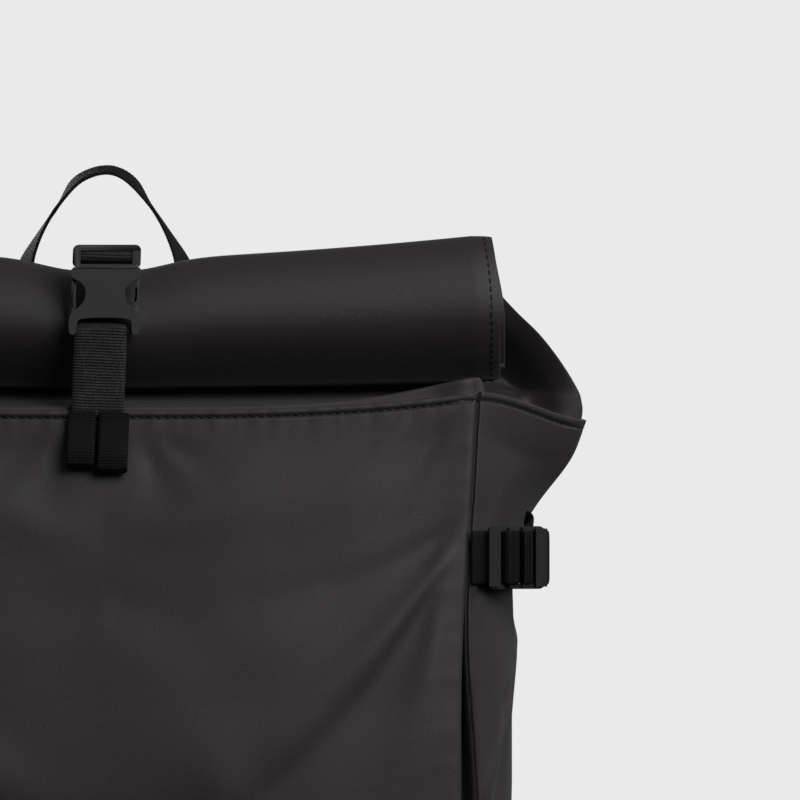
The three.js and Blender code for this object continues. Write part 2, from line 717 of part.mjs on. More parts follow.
// Up the back of the collar, over the roll, through the slot of the buckle's frame and folded back.
function closureStrapUpper() {
  const off = webGap + webThick / 2;
  const backHem = bodyPoint("back", 0.5, 1);
  const low = levelRows.at(-1);
  const line = [low, tuckShare].map((up) => {
    const point = bodyPoint("back", 0.5, up);
    return new THREE.Vector2(point.y + off, point.z);
  });
  line.push(new THREE.Vector2(backHem.y + off, backHem.z + off));
  backWall.slice(1).forEach((point) => line.push(point.clone().add(new THREE.Vector2(off * 0.8, off))));
  for (const angle of rollAngles.slice(1).filter((value) => value < Math.PI * 0.66)) {
    const place = rollLine(angle).addScaledVector(rollNormal(angle), bandThick / 2 + off);
    line.push(new THREE.Vector2(place.x, pressed(0, place.y) + 0.4));
  }
  const fold = webThick / 2 + 0.1;
  const front = buckleY - maleThick / 2 + webThick / 2;
  line.push(new THREE.Vector2(buckleY + maleThick / 2 + 0.6, maleSlotZ - fold));
  line.push(new THREE.Vector2(front + 0.8, maleSlotZ - fold));
  line.push(new THREE.Vector2(front, maleSlotZ));
  line.push(new THREE.Vector2(front + 0.8, maleSlotZ + fold));
  line.push(new THREE.Vector2(buckleY + maleThick / 2 + 2, maleSlotZ + fold));
  return uprightStrip(line, webWidth, webThick, 0);
}

// The front panel's outside at a height, at its middle, as the mesh has it between two rows.
function frontFace(z) {
  return bodyPoint("front", 0.5, z / bodyHeight).y - 0.25;
}

// From the hem up in front of the buckle's lower bar and over it.
function closureStrapLower() {
  const off = webGap + webThick / 2;
  const low = bodyHeight - 5;
  const line = [
    new THREE.Vector2(lowBar.back - webThick / 2, lowBar.top + off),
    new THREE.Vector2(lowBar.front + 0.2, lowBar.top + off + 0.3),
    new THREE.Vector2(lowBar.front - off - 0.3, lowBar.top),
    new THREE.Vector2(lowBar.front - off, buckleBottom - 2),
    new THREE.Vector2(frontFace(bodyHeight) - off - 0.5, bodyHeight + 9),
    new THREE.Vector2(frontFace(low) - off, low),
  ];
  return uprightStrip(line, webWidth, webThick, 0);
}

// A small loop of narrow webbing: flat on the panel, turned up at the bottom and back to the seam.
function frontLoop(side) {
  const centreX = (side * (loopWidth + loopSlit)) / 2;
  const top = bodyHeight - 6;
  const low = top - loopLength;
  const radius = (loopSpread + webThick) / 2;
  const face = (z) => frontFace(z) - webGap - webThick / 2;
  const turnZ = low + radius;
  const turnY = face(turnZ) - radius;
  const line = [new THREE.Vector2(face(top), top)];
  for (let i = 0; i <= 6; i += 1) {
    const angle = (Math.PI * i) / 6;
    line.push(new THREE.Vector2(turnY + radius * Math.cos(angle), turnZ - radius * Math.sin(angle)));
  }
  line.push(new THREE.Vector2(face(top) - webThick * 1.9, top - 3));
  line.push(new THREE.Vector2(face(top) - webThick - webGap, top));
  return uprightStrip(line, loopWidth, webThick, centreX);
}

// Grab handle: flat on the back panel at its ends, turned edge-on to the front at the top of its arch

function grabHandle() {
  const handleHeight = bodyHeight + handleRise;
  const off = webGap + webThick / 2;
  const footZ = bodyHeight - handleFoot;
  const backAt = (z) => bodyPoint("back", 0.5, z / bodyHeight).y + off + 0.4;
  const half = [
    new THREE.Vector3(handleSpan / 2, backAt(footZ), footZ),
    new THREE.Vector3(handleSpan / 2, backAt(bodyHeight - 6), bodyHeight - 6),
    new THREE.Vector3(handleSpan / 2 - 1, backAt(bodyHeight) + 1, bodyHeight + 18),
    new THREE.Vector3(handleArch / 2, backAt(bodyHeight), bodyHeight + handleRise * 0.6),
    new THREE.Vector3(handleArch * 0.29, backAt(bodyHeight) - 1, bodyHeight + handleRise * 0.9),
  ];
  const top = new THREE.Vector3(0, backAt(bodyHeight) - 1, handleHeight - webThick / 2);
  const mirrored = half.map((p) => new THREE.Vector3(-p.x, p.y, p.z)).reverse();
  const curve = new THREE.CatmullRomCurve3([...half, top, ...mirrored], false, "centripetal");
  const steps = 36;
  const line = curve.getSpacedPoints(steps);
  const widths = line.map((point, i) => {
    const along = curve.getTangentAt(i / steps);
    const turn = smooth(point.z, bodyHeight - 2, bodyHeight + handleRise * 0.72) * (Math.PI / 2);
    const flat = new THREE.Vector3(0, 1, 0).cross(along).normalize();
    const edge = new THREE.Vector3(0, 1, 0);
    return flat.multiplyScalar(Math.cos(turn)).addScaledVector(edge, Math.sin(turn)).normalize();
  });
  return twistedStrip(line, widths, () => webWidth / 2, webThick);
}

// Side compression straps: front webbing, slider, and rear webbing to the back seam

const sliderSlot = (sliderLength - 2 * sliderEndBar - 2 * sliderThinBar) / 3;
const sideStrapHeight = bodyHeight - sideStrapDrop;
const sideLevel = bodyLevel(sideStrapHeight / bodyHeight);
const sliderReach = sideLevel.side + sliderProud;

// The slider's place in plan: its middle, the way it lies, and the way it faces.
function sliderPlace() {
  const turn = THREE.MathUtils.degToRad(sliderTurn);
  const along = new THREE.Vector2(Math.cos(turn), Math.sin(turn));
  const out = new THREE.Vector2(along.y, -along.x);
  const startY = sideLevel.front + 4;
  const endX = sliderReach - (out.x * sliderThick) / 2;
  const middle = new THREE.Vector2(endX, startY + along.y * sliderLength);
  return { along, out, middle: middle.addScaledVector(along, -sliderLength / 2) };
}

const slider = sliderPlace();

function onSlider(along, out) {
  return slider.middle.clone().addScaledVector(slider.along, along).addScaledVector(slider.out, out);
}

function sliderBody() {
  const frame = new THREE.ExtrudeGeometry(roundedRect(sliderLength, sliderWidth, 2.6),
    { depth: sliderThick, bevelEnabled: false, curveSegments: 3 });
  frame.translate(0, 0, -sliderThick / 2);
  let solid = solidOf(frame);
  for (const i of [-1, 0, 1]) {
    const cut = new THREE.BoxGeometry(sliderSlot, webWidth + 0.9, sliderThick * 3);
    solid = solid.subtract(solidOf(cut.translate(i * (sliderSlot + sliderThinBar), 0, 0)));
  }
  // Length along the slider, width up, thickness outwards.
  const geometry = geometryOf(solid);
  geometry.rotateX(Math.PI / 2);
  geometry.rotateZ(Math.atan2(slider.along.y, slider.along.x));
  geometry.translate(slider.middle.x, slider.middle.y, sideStrapHeight);
  return geometry;
}

const slotAt = (i) => i * (sliderSlot + sliderThinBar);
const overBar = sliderThick / 2 + webGap + webThick / 2;
const crossing = 0.75; // half of how far the webbing moves along while it goes through a slot

// From the front seam under the first bar, over the first thin bar, and out behind as the free end.
function sideStrapFront() {
  const end = sliderLength / 2;
  const under = overBar + webThick + webGap;
  const line = [
    new THREE.Vector2(sideLevel.seam + webGap + 1.2, sideLevel.front - 0.4),
    onSlider(-end - 1, -overBar),
    onSlider(slotAt(-1) - crossing, -overBar),
    onSlider(slotAt(-1) + crossing, overBar),
    onSlider(slotAt(0) - crossing, overBar),
    onSlider(slotAt(0) + crossing, -overBar),
    onSlider(slotAt(0) + crossing + 1.2, -under),
    onSlider(end * 0.5, -under - 0.6),
    onSlider(end * 0.5 + tailLength * 0.2, -under - tailLength * 0.2),
    onSlider(end * 0.5 + tailLength * 0.2, -under - tailLength * 0.6),
  ];
  return levelStrip(line, webWidth, webThick, sideStrapHeight);
}

// From the back seam round the gusset, under the slider's end bar and over its second thin bar.
function sideStrapRear() {
  const end = sliderLength / 2;
  const line = [
    onSlider(slotAt(0) + crossing + 1.1, overBar),
    onSlider(slotAt(1) - crossing, overBar),
    onSlider(slotAt(1) + crossing, -overBar),
    onSlider(end + 0.6, -overBar),
  ];
  const edges = [-0.5, 0, 0.5].map((share) => (sideStrapHeight + share * webWidth) / bodyHeight);
  const onGusset = [0.62, 0.72, 0.82, 0.91, 0.97].map((turn) => {
    const points = edges.map((up) => bodyPoint("right", turn, up));
    const x = Math.max(...points.map((point) => point.x));
    return new THREE.Vector2(x + webThick + webGap * 2, points[1].y + webGap * 2);
  });
  const bend = smoothLine([
    line.at(-1).clone(),
    onSlider(end + 2.6, -overBar - 1.8),
    new THREE.Vector2(lerp(sideLevel.side, sliderReach, 0.85), lerp(sideLevel.front, sideLevel.back, 0.32)),
    new THREE.Vector2(lerp(sideLevel.side, sliderReach, 0.55), lerp(sideLevel.front, sideLevel.back, 0.46)),
    ...onGusset,
  ], 22);
  return levelStrip([...line, ...bend.slice(1)], webWidth, webThick, sideStrapHeight);
}

function mirroredX(geometry) {
  const copy = geometry.clone();
  copy.scale(-1, 1, 1);
  const flat = copy.index ? copy.toNonIndexed() : copy;
  const position = flat.attributes.position;
  for (let i = 0; i < position.count; i += 3) {
    for (const read of ["getX", "getY", "getZ"]) {
      const write = read.replace("get", "set");
      const kept = position[read](i + 1);
      position[write](i + 1, position[read](i + 2));
      position[write](i + 2, kept);
    }
  }
  flat.computeVertexNormals();
  return flat;
}

// Shoulder straps: a padded strap bowed off the back panel, and webbing from its end to the base corner

const padTop = bodyHeight - handleFoot - padDrop;
const padBottom = padTop - padLength;

function padLine() {
  const backAt = (z) => bodyPoint("back", 0.5, z / bodyHeight).y + webGap + (padEdge * padThick) / 2;
  const height = padTop - padBottom;
  const top = padSpacing / 2;
  const low = top + padSplay / 2;
  return new THREE.CatmullRomCurve3([
    new THREE.Vector3(top, backAt(padTop), padTop),
    new THREE.Vector3(top + 1, backAt(padTop) + padStandOff * 0.35, padTop - height * 0.1),
    new THREE.Vector3(top + padSplay * 0.08, backAt(padTop) + padStandOff * 0.9, padTop - height * 0.38),
    new THREE.Vector3(top + padSplay * 0.3, backAt(padTop) + padStandOff, padTop - height * 0.66),
    new THREE.Vector3(low, backAt(padBottom) + padStandOff * 0.72, padBottom),
  ], false, "centripetal");
}

// A rounded pad section carried along the line, narrower towards its lower end.
function shoulderPad(side) {
  const curve = padLine();
  const steps = 16;
  const line = curve.getSpacedPoints(steps);
  const section = [[-1, 0], [-0.86, 0.42], [-0.4, 0.5], [0.4, 0.5], [0.86, 0.42], [1, 0]];
  const ring = [...section, ...section.slice(1, -1).reverse().map(([across, thick]) => [across, -thick])];
  const points = [];
  line.forEach((point, i) => {
    const along = curve.getTangentAt(i / steps);
    const width = new THREE.Vector3(1, 0, 0);
    const out = new THREE.Vector3().crossVectors(along, width).normalize();
    const taper = lerp(1, 0.62, smooth(i / steps, 0.55, 1));
    const thin = i === 0 || i === steps ? padEdge : 1;
    for (const [across, thick] of ring) {
      const place = point.clone().addScaledVector(width, (across * padWidth * taper) / 2);
      points.push(place.addScaledVector(out, thick * padThick * thin));
    }
  });
  const faces = [];
  const count = ring.length;
  for (let r = 0; r < steps; r += 1) {
    for (let c = 0; c < count; c += 1) {
      const a = r * count + c;
      const b = r * count + ((c + 1) % count);
      faces.push(a, b + count, b, a, a + count, b + count);
    }
  }
  for (let c = 1; c < count - 1; c += 1) {
    faces.push(0, c, c + 1);
    faces.push(steps * count, steps * count + c + 1, steps * count + c);
  }
  const pad = geometryFrom(points, faces);
  return side > 0 ? pad : mirroredX(pad);
}

function shoulderWeb(side) {
  const end = padLine().getPoint(1);
  const footX = footSpacing / 2;
  const footY = bodyPoint("back", 0.5, footHeight / bodyHeight).y + webGap + webThick / 2;
  const line = new THREE.CatmullRomCurve3([
    new THREE.Vector3(end.x + 0.5, end.y - 0.4, end.z - webThick - 1.2),
    new THREE.Vector3(end.x + 6, end.y - 4, end.z - 26),
    new THREE.Vector3(lerp(end.x, footX, 0.6), lerp(end.y, footY, 0.62), lerp(end.z, footHeight, 0.62)),
    new THREE.Vector3(footX, footY + 1.4, footHeight + 14),
    new THREE.Vector3(footX + 2, footY, footHeight),
  ], false, "centripetal");
  const points = line.getSpacedPoints(14);
  const widths = points.map(() => new THREE.Vector3(1, 0, 0));
  const web = twistedStrip(points, widths, () => webWidth / 2, webThick);
  return side > 0 ? web : mirroredX(web);
}

// Assembly

const backpack = new THREE.Group();

function addPiece(name, geometry, material) {
  const mesh = new THREE.Mesh(geometry, materials[material]);
  mesh.name = name;
  backpack.add(mesh);
}

addPiece("front_panel", bodyPanel("front"), "cloth");
addPiece("side_gusset_right", bodyPanel("right"), "cloth");
addPiece("side_gusset_left", bodyPanel("left"), "cloth");
addPiece("back_panel", bodyPanel("back"), "cloth");
addPiece("base_panel", basePanel(), "cloth");
addPiece("collar", collarBody(), "cloth");
addPiece("closure_strap_upper", closureStrapUpper(), "webbing");
addPiece("closure_strap_lower", closureStrapLower(), "webbing");
addPiece("buckle_male", buckleMale(), "plastic");
addPiece("buckle_female", buckleFemale(), "plastic");
addPiece("grab_handle", grabHandle(), "webbing");
for (const [name, side] of [["right", 1], ["left", -1]]) {
  addPiece(`front_loop_${name}`, frontLoop(side), "webbing");
  const turned = (geometry) => (side > 0 ? geometry : mirroredX(geometry));
  addPiece(`side_slider_${name}`, turned(sliderBody()), "plastic");
  addPiece(`side_strap_front_${name}`, turned(sideStrapFront()), "webbing");
  addPiece(`side_strap_rear_${name}`, turned(sideStrapRear()), "webbing");
  addPiece(`shoulder_pad_${name}`, shoulderPad(side), "padding");
  addPiece(`shoulder_web_${name}`, shoulderWeb(side), "webbing");
}

// The origin is the middle of the bag's outline on the surface that it stands on.
const extent = new THREE.Box3().setFromObject(backpack);
const middle = extent.getCenter(new THREE.Vector3());
backpack.position.set(-middle.x, -middle.y, -extent.min.z);

export default backpack;
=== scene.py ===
import math

import bmesh
import bpy
import numpy as np
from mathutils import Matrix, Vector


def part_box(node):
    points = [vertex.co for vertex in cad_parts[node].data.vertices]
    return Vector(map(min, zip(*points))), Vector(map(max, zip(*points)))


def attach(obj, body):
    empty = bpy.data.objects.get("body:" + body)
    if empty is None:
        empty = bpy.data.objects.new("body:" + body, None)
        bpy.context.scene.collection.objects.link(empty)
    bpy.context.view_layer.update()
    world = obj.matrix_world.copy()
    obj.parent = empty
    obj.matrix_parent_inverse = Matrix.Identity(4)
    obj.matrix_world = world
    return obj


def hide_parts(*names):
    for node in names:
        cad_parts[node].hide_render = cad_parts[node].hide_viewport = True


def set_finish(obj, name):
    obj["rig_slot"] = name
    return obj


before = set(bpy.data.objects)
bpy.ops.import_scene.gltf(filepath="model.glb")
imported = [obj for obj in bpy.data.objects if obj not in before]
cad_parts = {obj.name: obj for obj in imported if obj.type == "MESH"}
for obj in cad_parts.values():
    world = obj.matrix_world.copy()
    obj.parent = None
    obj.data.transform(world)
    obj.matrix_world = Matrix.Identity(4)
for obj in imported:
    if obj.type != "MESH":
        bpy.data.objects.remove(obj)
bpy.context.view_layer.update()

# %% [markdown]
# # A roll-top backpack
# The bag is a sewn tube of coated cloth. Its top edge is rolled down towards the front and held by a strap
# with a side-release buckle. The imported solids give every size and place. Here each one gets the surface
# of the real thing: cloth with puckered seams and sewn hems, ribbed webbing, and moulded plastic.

MM = 0.001
print("solids:", len(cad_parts))

# %% [markdown]
# ## The camera
# A product photo like this is taken with a long lens from straight in front. The picture cuts the bag off
# on the left and below, so the camera aims at a point right of the bag's middle, above its centre. The
# scale is known at one plane, the front panel, so the lens is worked out for that plane.

# %% Where the photograph looks
PIXELS = 800
PIXELS_PER_MM = 2.6
BAG_MIDDLE_PX = 103       # column of the photograph that the bag's middle line falls on
HEM_PX, HEM_Z = 418, 370.0   # row of the front hem's stitching, and its height in millimetres
CAMERA_AWAY = 9000.0      # a long lens: far enough that depth hardly changes the scale
FRONT_PLANE_Y = -72.0     # where the scale is taken, on the front panel
SENSOR = 36.0

view_x = (PIXELS / 2 - BAG_MIDDLE_PX) / PIXELS_PER_MM
view_z = HEM_Z + (HEM_PX - PIXELS / 2) / PIXELS_PER_MM
view_width = PIXELS / PIXELS_PER_MM

camera_data = bpy.data.cameras.new("camera")
camera_data.sensor_width = SENSOR
camera_data.lens = SENSOR * CAMERA_AWAY / view_width
camera = bpy.data.objects.new("camera", camera_data)
bpy.context.scene.collection.objects.link(camera)
camera.location = np.array([view_x, FRONT_PLANE_Y - CAMERA_AWAY, view_z]) * MM
camera.rotation_euler = (math.pi / 2, 0.0, 0.0)
bpy.context.scene.camera = camera
bpy.context.scene.view_settings.view_transform = "Standard"
print("camera aims at", round(view_x, 1), round(view_z, 1), "and sees", round(view_width, 1), "mm")

# %% [markdown]
# ## The light
# Black cloth on a pale background is a matter of contrast: the light has to model the folds, and surfaces
# that face down have to stay almost black. One large lamp above and in front does most of the work, a
# second fills from the right, and two behind give the back its shape in other views. The background has to
# be pale to the eye and still throw no light from below. So the world shows the camera one flat grey and
# gives everything else a ramp, bright above and dark below, and the floor does the same.

# %% World
BACKGROUND = 0.823
SKY_TOP, SKY_LOW = 0.15, 0.003
RAMP_LOW, RAMP_HIGH = -0.35, 0.9     # heights of a ray, as the sine of its angle, between which the ramp runs


def studio_world():
    """Seen directly, one pale grey. As light, a ramp over the height of the ray: bright above, dark below."""
    world = bpy.data.worlds.new("studio")
    bpy.context.scene.world = world
    world.use_nodes = True
    nodes, links = world.node_tree.nodes, world.node_tree.links
    nodes.clear()
    out = nodes.new("ShaderNodeOutputWorld")
    mix = nodes.new("ShaderNodeMixShader")
    seen = nodes.new("ShaderNodeBackground")
    seen.inputs["Color"].default_value = (BACKGROUND, BACKGROUND, BACKGROUND, 1)
    light = nodes.new("ShaderNodeBackground")
    path = nodes.new("ShaderNodeLightPath")
    place = nodes.new("ShaderNodeTexCoord")
    split = nodes.new("ShaderNodeSeparateXYZ")
    ramp = nodes.new("ShaderNodeMapRange")
    ramp.interpolation_type = "SMOOTHSTEP"
    ramp.inputs["From Min"].default_value = RAMP_LOW
    ramp.inputs["From Max"].default_value = RAMP_HIGH
    ramp.inputs["To Min"].default_value = SKY_LOW
    ramp.inputs["To Max"].default_value = SKY_TOP
    links.new(place.outputs["Generated"], split.inputs[0])
    links.new(split.outputs["Z"], ramp.inputs["Value"])
    links.new(ramp.outputs["Result"], light.inputs["Color"])
    links.new(path.outputs["Is Camera Ray"], mix.inputs["Fac"])
    links.new(light.outputs[0], mix.inputs[1])
    links.new(seen.outputs[0], mix.inputs[2])
    links.new(mix.outputs[0], out.inputs["Surface"])


studio_world()
print("world:", BACKGROUND, "for the camera,", SKY_LOW, "to", SKY_TOP, "as light")

# %% Lamps


def soft_lamp(name, place, aim, width, power):
    """A square area lamp at place, turned to face aim, both in metres. An area lamp shines along its own
    -Z, so it is tipped by the angle between straight down and the way to aim."""
    data = bpy.data.lights.new(name, "AREA")
    data.size = width
    data.energy = power
    lamp = bpy.data.objects.new(name, data)
    bpy.context.scene.collection.objects.link(lamp)
    place = np.array(place, float)
    toward = np.array(aim, float) - place
    lamp.location = place
    flat = math.hypot(toward[0], toward[1])
    lamp.rotation_euler = (math.atan2(flat, -toward[2]), 0.0, math.atan2(toward[1], toward[0]) - math.pi / 2)
    print(name, "at", place, "with", power, "W")


BAG_MIDDLE = (0.0, 0.0, 0.3)
soft_lamp("key_above", (0.62, -1.04, 1.04), BAG_MIDDLE, 0.75, 8.1)
soft_lamp("fill_right", (1.6, -0.7, 0.8), BAG_MIDDLE, 0.8, 4.2)
soft_lamp("rim_back", (1.5, 1.0, 1.0), BAG_MIDDLE, 1.0, 3.5)
soft_lamp("fill_back", (-0.7, 1.9, 0.5), BAG_MIDDLE, 1.1, 12.0)

# %% Floor
FLOOR_RADIUS = 1.6
FLOOR_GREY, FLOOR_GLOW, FLOOR_BOUNCE = 0.6, 0.42, 0.02
bpy.ops.mesh.primitive_circle_add(vertices=96, radius=FLOOR_RADIUS, fill_type="NGON")
floor = bpy.context.object
floor.name = "floor"
floor_material = bpy.data.materials.new("pale_floor")
floor_material.use_nodes = True
floor_tree = floor_material.node_tree
floor_shader = floor_tree.nodes["Principled BSDF"]
floor_shader.inputs["Base Color"].default_value = (FLOOR_GREY, FLOOR_GREY, FLOOR_GREY, 1)
floor_shader.inputs["Roughness"].default_value = 0.9
floor_shader.inputs["Emission Color"].default_value = (1, 1, 1, 1)
floor_shader.inputs["Emission Strength"].default_value = FLOOR_GLOW
floor.data.materials.append(floor_material)

# Pale to the camera, and nearly black to every other ray, so that faces which look down stay dark.
floor_out = floor_tree.nodes["Material Output"]
floor_path = floor_tree.nodes.new("ShaderNodeLightPath")
floor_dark = floor_tree.nodes.new("ShaderNodeBsdfDiffuse")
floor_dark.inputs["Color"].default_value = (FLOOR_BOUNCE, FLOOR_BOUNCE, FLOOR_BOUNCE, 1)
floor_mix = floor_tree.nodes.new("ShaderNodeMixShader")
floor_tree.links.new(floor_path.outputs["Is Camera Ray"], floor_mix.inputs["Fac"])
floor_tree.links.new(floor_dark.outputs[0], floor_mix.inputs[1])
floor_tree.links.new(floor_shader.outputs[0], floor_mix.inputs[2])
floor_tree.links.new(floor_mix.outputs[0], floor_out.inputs["Surface"])
print("floor:", FLOOR_RADIUS, "m in radius")

# %% [markdown]
# ## Surfaces as grids of numbers
# Every new piece is a grid of points worked out with whole arrays: one direction of the array runs along
# the piece and the other across it. These helpers turn such grids into closed meshes with a UV map in
# metres, so that weave and ribs keep their real size on every piece.

# %% Steps, mixes and directions


def smooth(x, low, high):
    """0 below low, 1 above high, and a smooth S between them."""
    t = np.clip((np.asarray(x, float) - low) / (high - low), 0, 1)
    return t * t * (3 - 2 * t)


def mixed(a, b, t):
    """a where t is 0, b where t is 1, and straight between."""
    return a + (b - a) * t


def unit(v):
    """Each vector of an array divided by its length."""
    return v / np.maximum(np.linalg.norm(v, axis=-1, keepdims=True), 1e-12)


def grid_normals(grid):
    """The cross product of the step along the columns and the step along the rows, made unit long."""
    return unit(np.cross(np.gradient(grid, axis=1), np.gradient(grid, axis=0)))


def arc_lengths(grid, axis):
    """The distance travelled along one axis of a grid, in the grid's own units."""
    steps = np.linalg.norm(np.diff(grid, axis=axis), axis=-1)
    lead = np.zeros_like(np.take(steps, [0], axis))
    return np.concatenate([lead, np.cumsum(steps, axis)], axis)


print("smooth(5, 0, 10) =", float(smooth(5, 0, 10)))

# %% [markdown]
# A mesh needs the corner numbers of its faces as well as its points. On a grid these follow from the row and
# the column. A wall is two grids, the outer and the inner side of the cloth, joined round their edge. Faces
# with two corners at one place, as at the tip of a stitch, become triangles.

# %% Faces, and one function that makes every piece


def quads(rows, columns, start=0, closed_rows=False, closed_columns=False, flip=False):
    """Corner numbers of the faces of a grid, whose columns run to the left hand of its rows when seen
    from outside. flip turns the faces round."""
    r = np.arange(rows if closed_rows else rows - 1)[:, None]
    c = np.arange(columns if closed_columns else columns - 1)[None, :]
    r2, c2 = (r + 1) % rows, (c + 1) % columns
    faces = np.stack([r * columns + c, r * columns + c2, r2 * columns + c2, r2 * columns + c], axis=-1)
    faces = faces.reshape(-1, 4) + start
    return faces[:, ::-1] if flip else faces


def split_faces(faces):
    """Quads with four unlike corners, and the triangles left of quads that have two neighbours alike."""
    faces = np.asarray(faces, np.int32)
    alike = faces == np.roll(faces, -1, axis=1)
    pinched = faces[alike.sum(axis=1) == 1]
    drop = (pinched == np.roll(pinched, -1, axis=1)).argmax(axis=1)
    keep = (drop[:, None] + np.array([1, 2, 3])) % 4
    return [faces[~alike.any(axis=1)], np.take_along_axis(pinched, keep, axis=1)]


def make_piece(name, points, faces, uv, material, slot="coated_cloth"):
    """One mesh object from points in millimetres, quads, and a UV pair in metres a point."""
    mesh = bpy.data.meshes.new(name)
    blocks = split_faces(faces)
    corners = np.concatenate([block.ravel() for block in blocks])
    sizes = np.concatenate([np.full(len(block), block.shape[1]) for block in blocks])
    starts = np.concatenate([[0], np.cumsum(sizes)[:-1]]).astype(np.int32)
    mesh.vertices.add(len(points))
    mesh.vertices.foreach_set("co", (np.asarray(points, float) * MM).astype(np.float32).ravel())
    mesh.loops.add(len(corners))
    mesh.loops.foreach_set("vertex_index", corners.astype(np.int32))
    mesh.polygons.add(len(sizes))
    mesh.polygons.foreach_set("loop_start", starts)
    mesh.update(calc_edges=True)
    mesh.polygons.foreach_set("use_smooth", np.ones(len(sizes), bool))
    layer = mesh.uv_layers.new(name="cloth_m")
    layer.data.foreach_set("uv", np.asarray(uv, np.float32)[corners].ravel())
    mesh.validate()
    piece = bpy.data.objects.new(name, mesh)
    bpy.context.scene.collection.objects.link(piece)
    mesh.materials.append(material)
    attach(piece, "root")
    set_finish(piece, slot)
    return piece


def sheet_parts(outer, inner):
    """Points, faces and UVs of a wall between an outer and an inner grid of the same size, closed all
    round its edge. The UVs are the distances along the outer grid."""
    rows, columns = outer.shape[:2]
    count = rows * columns
    points = np.concatenate([outer.reshape(-1, 3), inner.reshape(-1, 3)])
    at = np.arange(count).reshape(rows, columns)
    rim = np.concatenate([at[0, :-1], at[:-1, -1], at[-1, :0:-1], at[:0:-1, 0]])
    ahead = np.roll(rim, -1)
    edge = np.stack([rim, rim + count, ahead + count, ahead], axis=-1)
    faces = np.concatenate([quads(rows, columns), quads(rows, columns, count, flip=True), edge])
    uv = np.stack([arc_lengths(outer, 1), arc_lengths(outer, 0)], axis=-1).reshape(-1, 2) * MM
    return points, faces, np.concatenate([uv, uv])


def joined(parts):
    """Several (points, faces, uv) triples made one, their corner numbers moved along."""
    counts = np.cumsum([0] + [len(p) for p, f, t in parts[:-1]])
    points = np.concatenate([p for p, f, t in parts])
    faces = np.concatenate([f + n for (p, f, t), n in zip(parts, counts)])
    return points, faces, np.concatenate([t for p, f, t in parts])


print("faces of a grid of 3 rows and 4 columns:", len(quads(3, 4)))

# %% [markdown]
# Most forms here start as a few numbers: a table of sizes at some heights, or the points that a strap goes
# through. A smooth curve through them fills in the rest. Cubic pieces whose slopes come from the neighbours
# pass exactly through every number given, so a table can be read straight off the photograph.

# %% Smooth curves through few numbers


def read_table(table, at, column):
    """A column of a table at any place between its rows, on the smooth curve through the rows whose slope
    at a row is that of the line through its two neighbours."""
    keys = np.array([row["height"] for row in table])
    values = np.array([row[column] for row in table])
    low, high = np.maximum(np.arange(len(keys)) - 1, 0), np.minimum(np.arange(len(keys)) + 1, len(keys) - 1)
    slopes = (values[high] - values[low]) / (keys[high] - keys[low])
    i = np.clip(np.searchsorted(keys, at) - 1, 0, len(keys) - 2)
    span = keys[i + 1] - keys[i]
    t = np.clip((at - keys[i]) / span, 0, 1)
    rise = values[i + 1] - values[i]
    start, end = slopes[i] * span, slopes[i + 1] * span
    return values[i] + start * t + (3 * rise - 2 * start - end) * t**2 + (start + end - 2 * rise) * t**3


def through(points, count, closed=False):
    """A smooth curve through the points, count steps from each to the next: between two points a cubic
    whose end slopes are those of the lines through their neighbours. Works on whole rows of points."""
    points = np.asarray(points, float)
    if closed:
        spans = np.arange(len(points))
        before, after = np.roll(points, 1, 0), np.roll(points, -1, 0)
        beyond = np.roll(points, -2, 0)
    else:
        spans = np.arange(len(points) - 1)
        before = np.concatenate([points[:1] * 2 - points[1:2], points[:-2]])
        after = points[1:]
        beyond = np.concatenate([points[2:], points[-1:] * 2 - points[-2:-1]])
    here = points[spans]
    t = (np.arange(count) / count).reshape((1, count) + (1,) * (points.ndim - 1))
    a, b, c, d = (p[:, None] for p in (before, here, after, beyond))
    curve = 0.5 * (2 * b + (c - a) * t + (2 * a - 5 * b + 4 * c - d) * t**2 + (3 * b - a - 3 * c + d) * t**3)
    curve = curve.reshape((-1,) + points.shape[1:])
    return curve if closed else np.concatenate([curve, points[-1:]])


print("through 0, 1 and 4 in steps of two:", through([0.0, 1.0, 4.0], 2))

# %% [markdown]
# ## Finishes
# The cloth is nylon with a thin coat that nearly fills its weave. What is left is an irregular fine grain
# that breaks up the light, a slow drift of colour, a little sheen where the surface turns away, and small
# specks of dust. A regular weave this fine would also make false stripes in a picture of 800 pixels. The
# webbing shows its weave much more plainly, and its ribs are real geometry. The plastic is satin with a
# faint grain from the mould. Weave, grain and dust are node groups that all the materials share.

# %% Node groups


def new_group(name, inputs, outputs):
    """An empty shader group with its sockets: inputs as (name, default), outputs as names and types."""
    group = bpy.data.node_groups.new(name, "ShaderNodeTree")
    for label, default in inputs:
        kind = "NodeSocketVector" if default is None else "NodeSocketFloat"
        socket = group.interface.new_socket(name=label, in_out="INPUT", socket_type=kind)
        if default is not None:
            socket.default_value = default
    for label in outputs:
        group.interface.new_socket(name=label, in_out="OUTPUT", socket_type="NodeSocketFloat")
    return group, group.nodes.new("NodeGroupInput"), group.nodes.new("NodeGroupOutput")


print("node groups before:", len(bpy.data.node_groups))

# %% [markdown]
# Math nodes do the arithmetic. A weave's height is the threads' own round backs, seen where that thread lies
# on top. Sines of the place give both: a fast one for the backs, and the sign of a product for the order.

# %% Weave


def math_node(tree, operation, a, b=None, clamp=False):
    """A Math node in tree; a and b are sockets or numbers."""
    node = tree.nodes.new("ShaderNodeMath")
    node.operation = operation
    node.use_clamp = clamp
    for i, value in enumerate((a, b)):
        if value is None:
            continue
        if isinstance(value, (int, float)):
            node.inputs[i].default_value = value
        else:
            tree.links.new(value, node.inputs[i])
    return node.outputs[0]


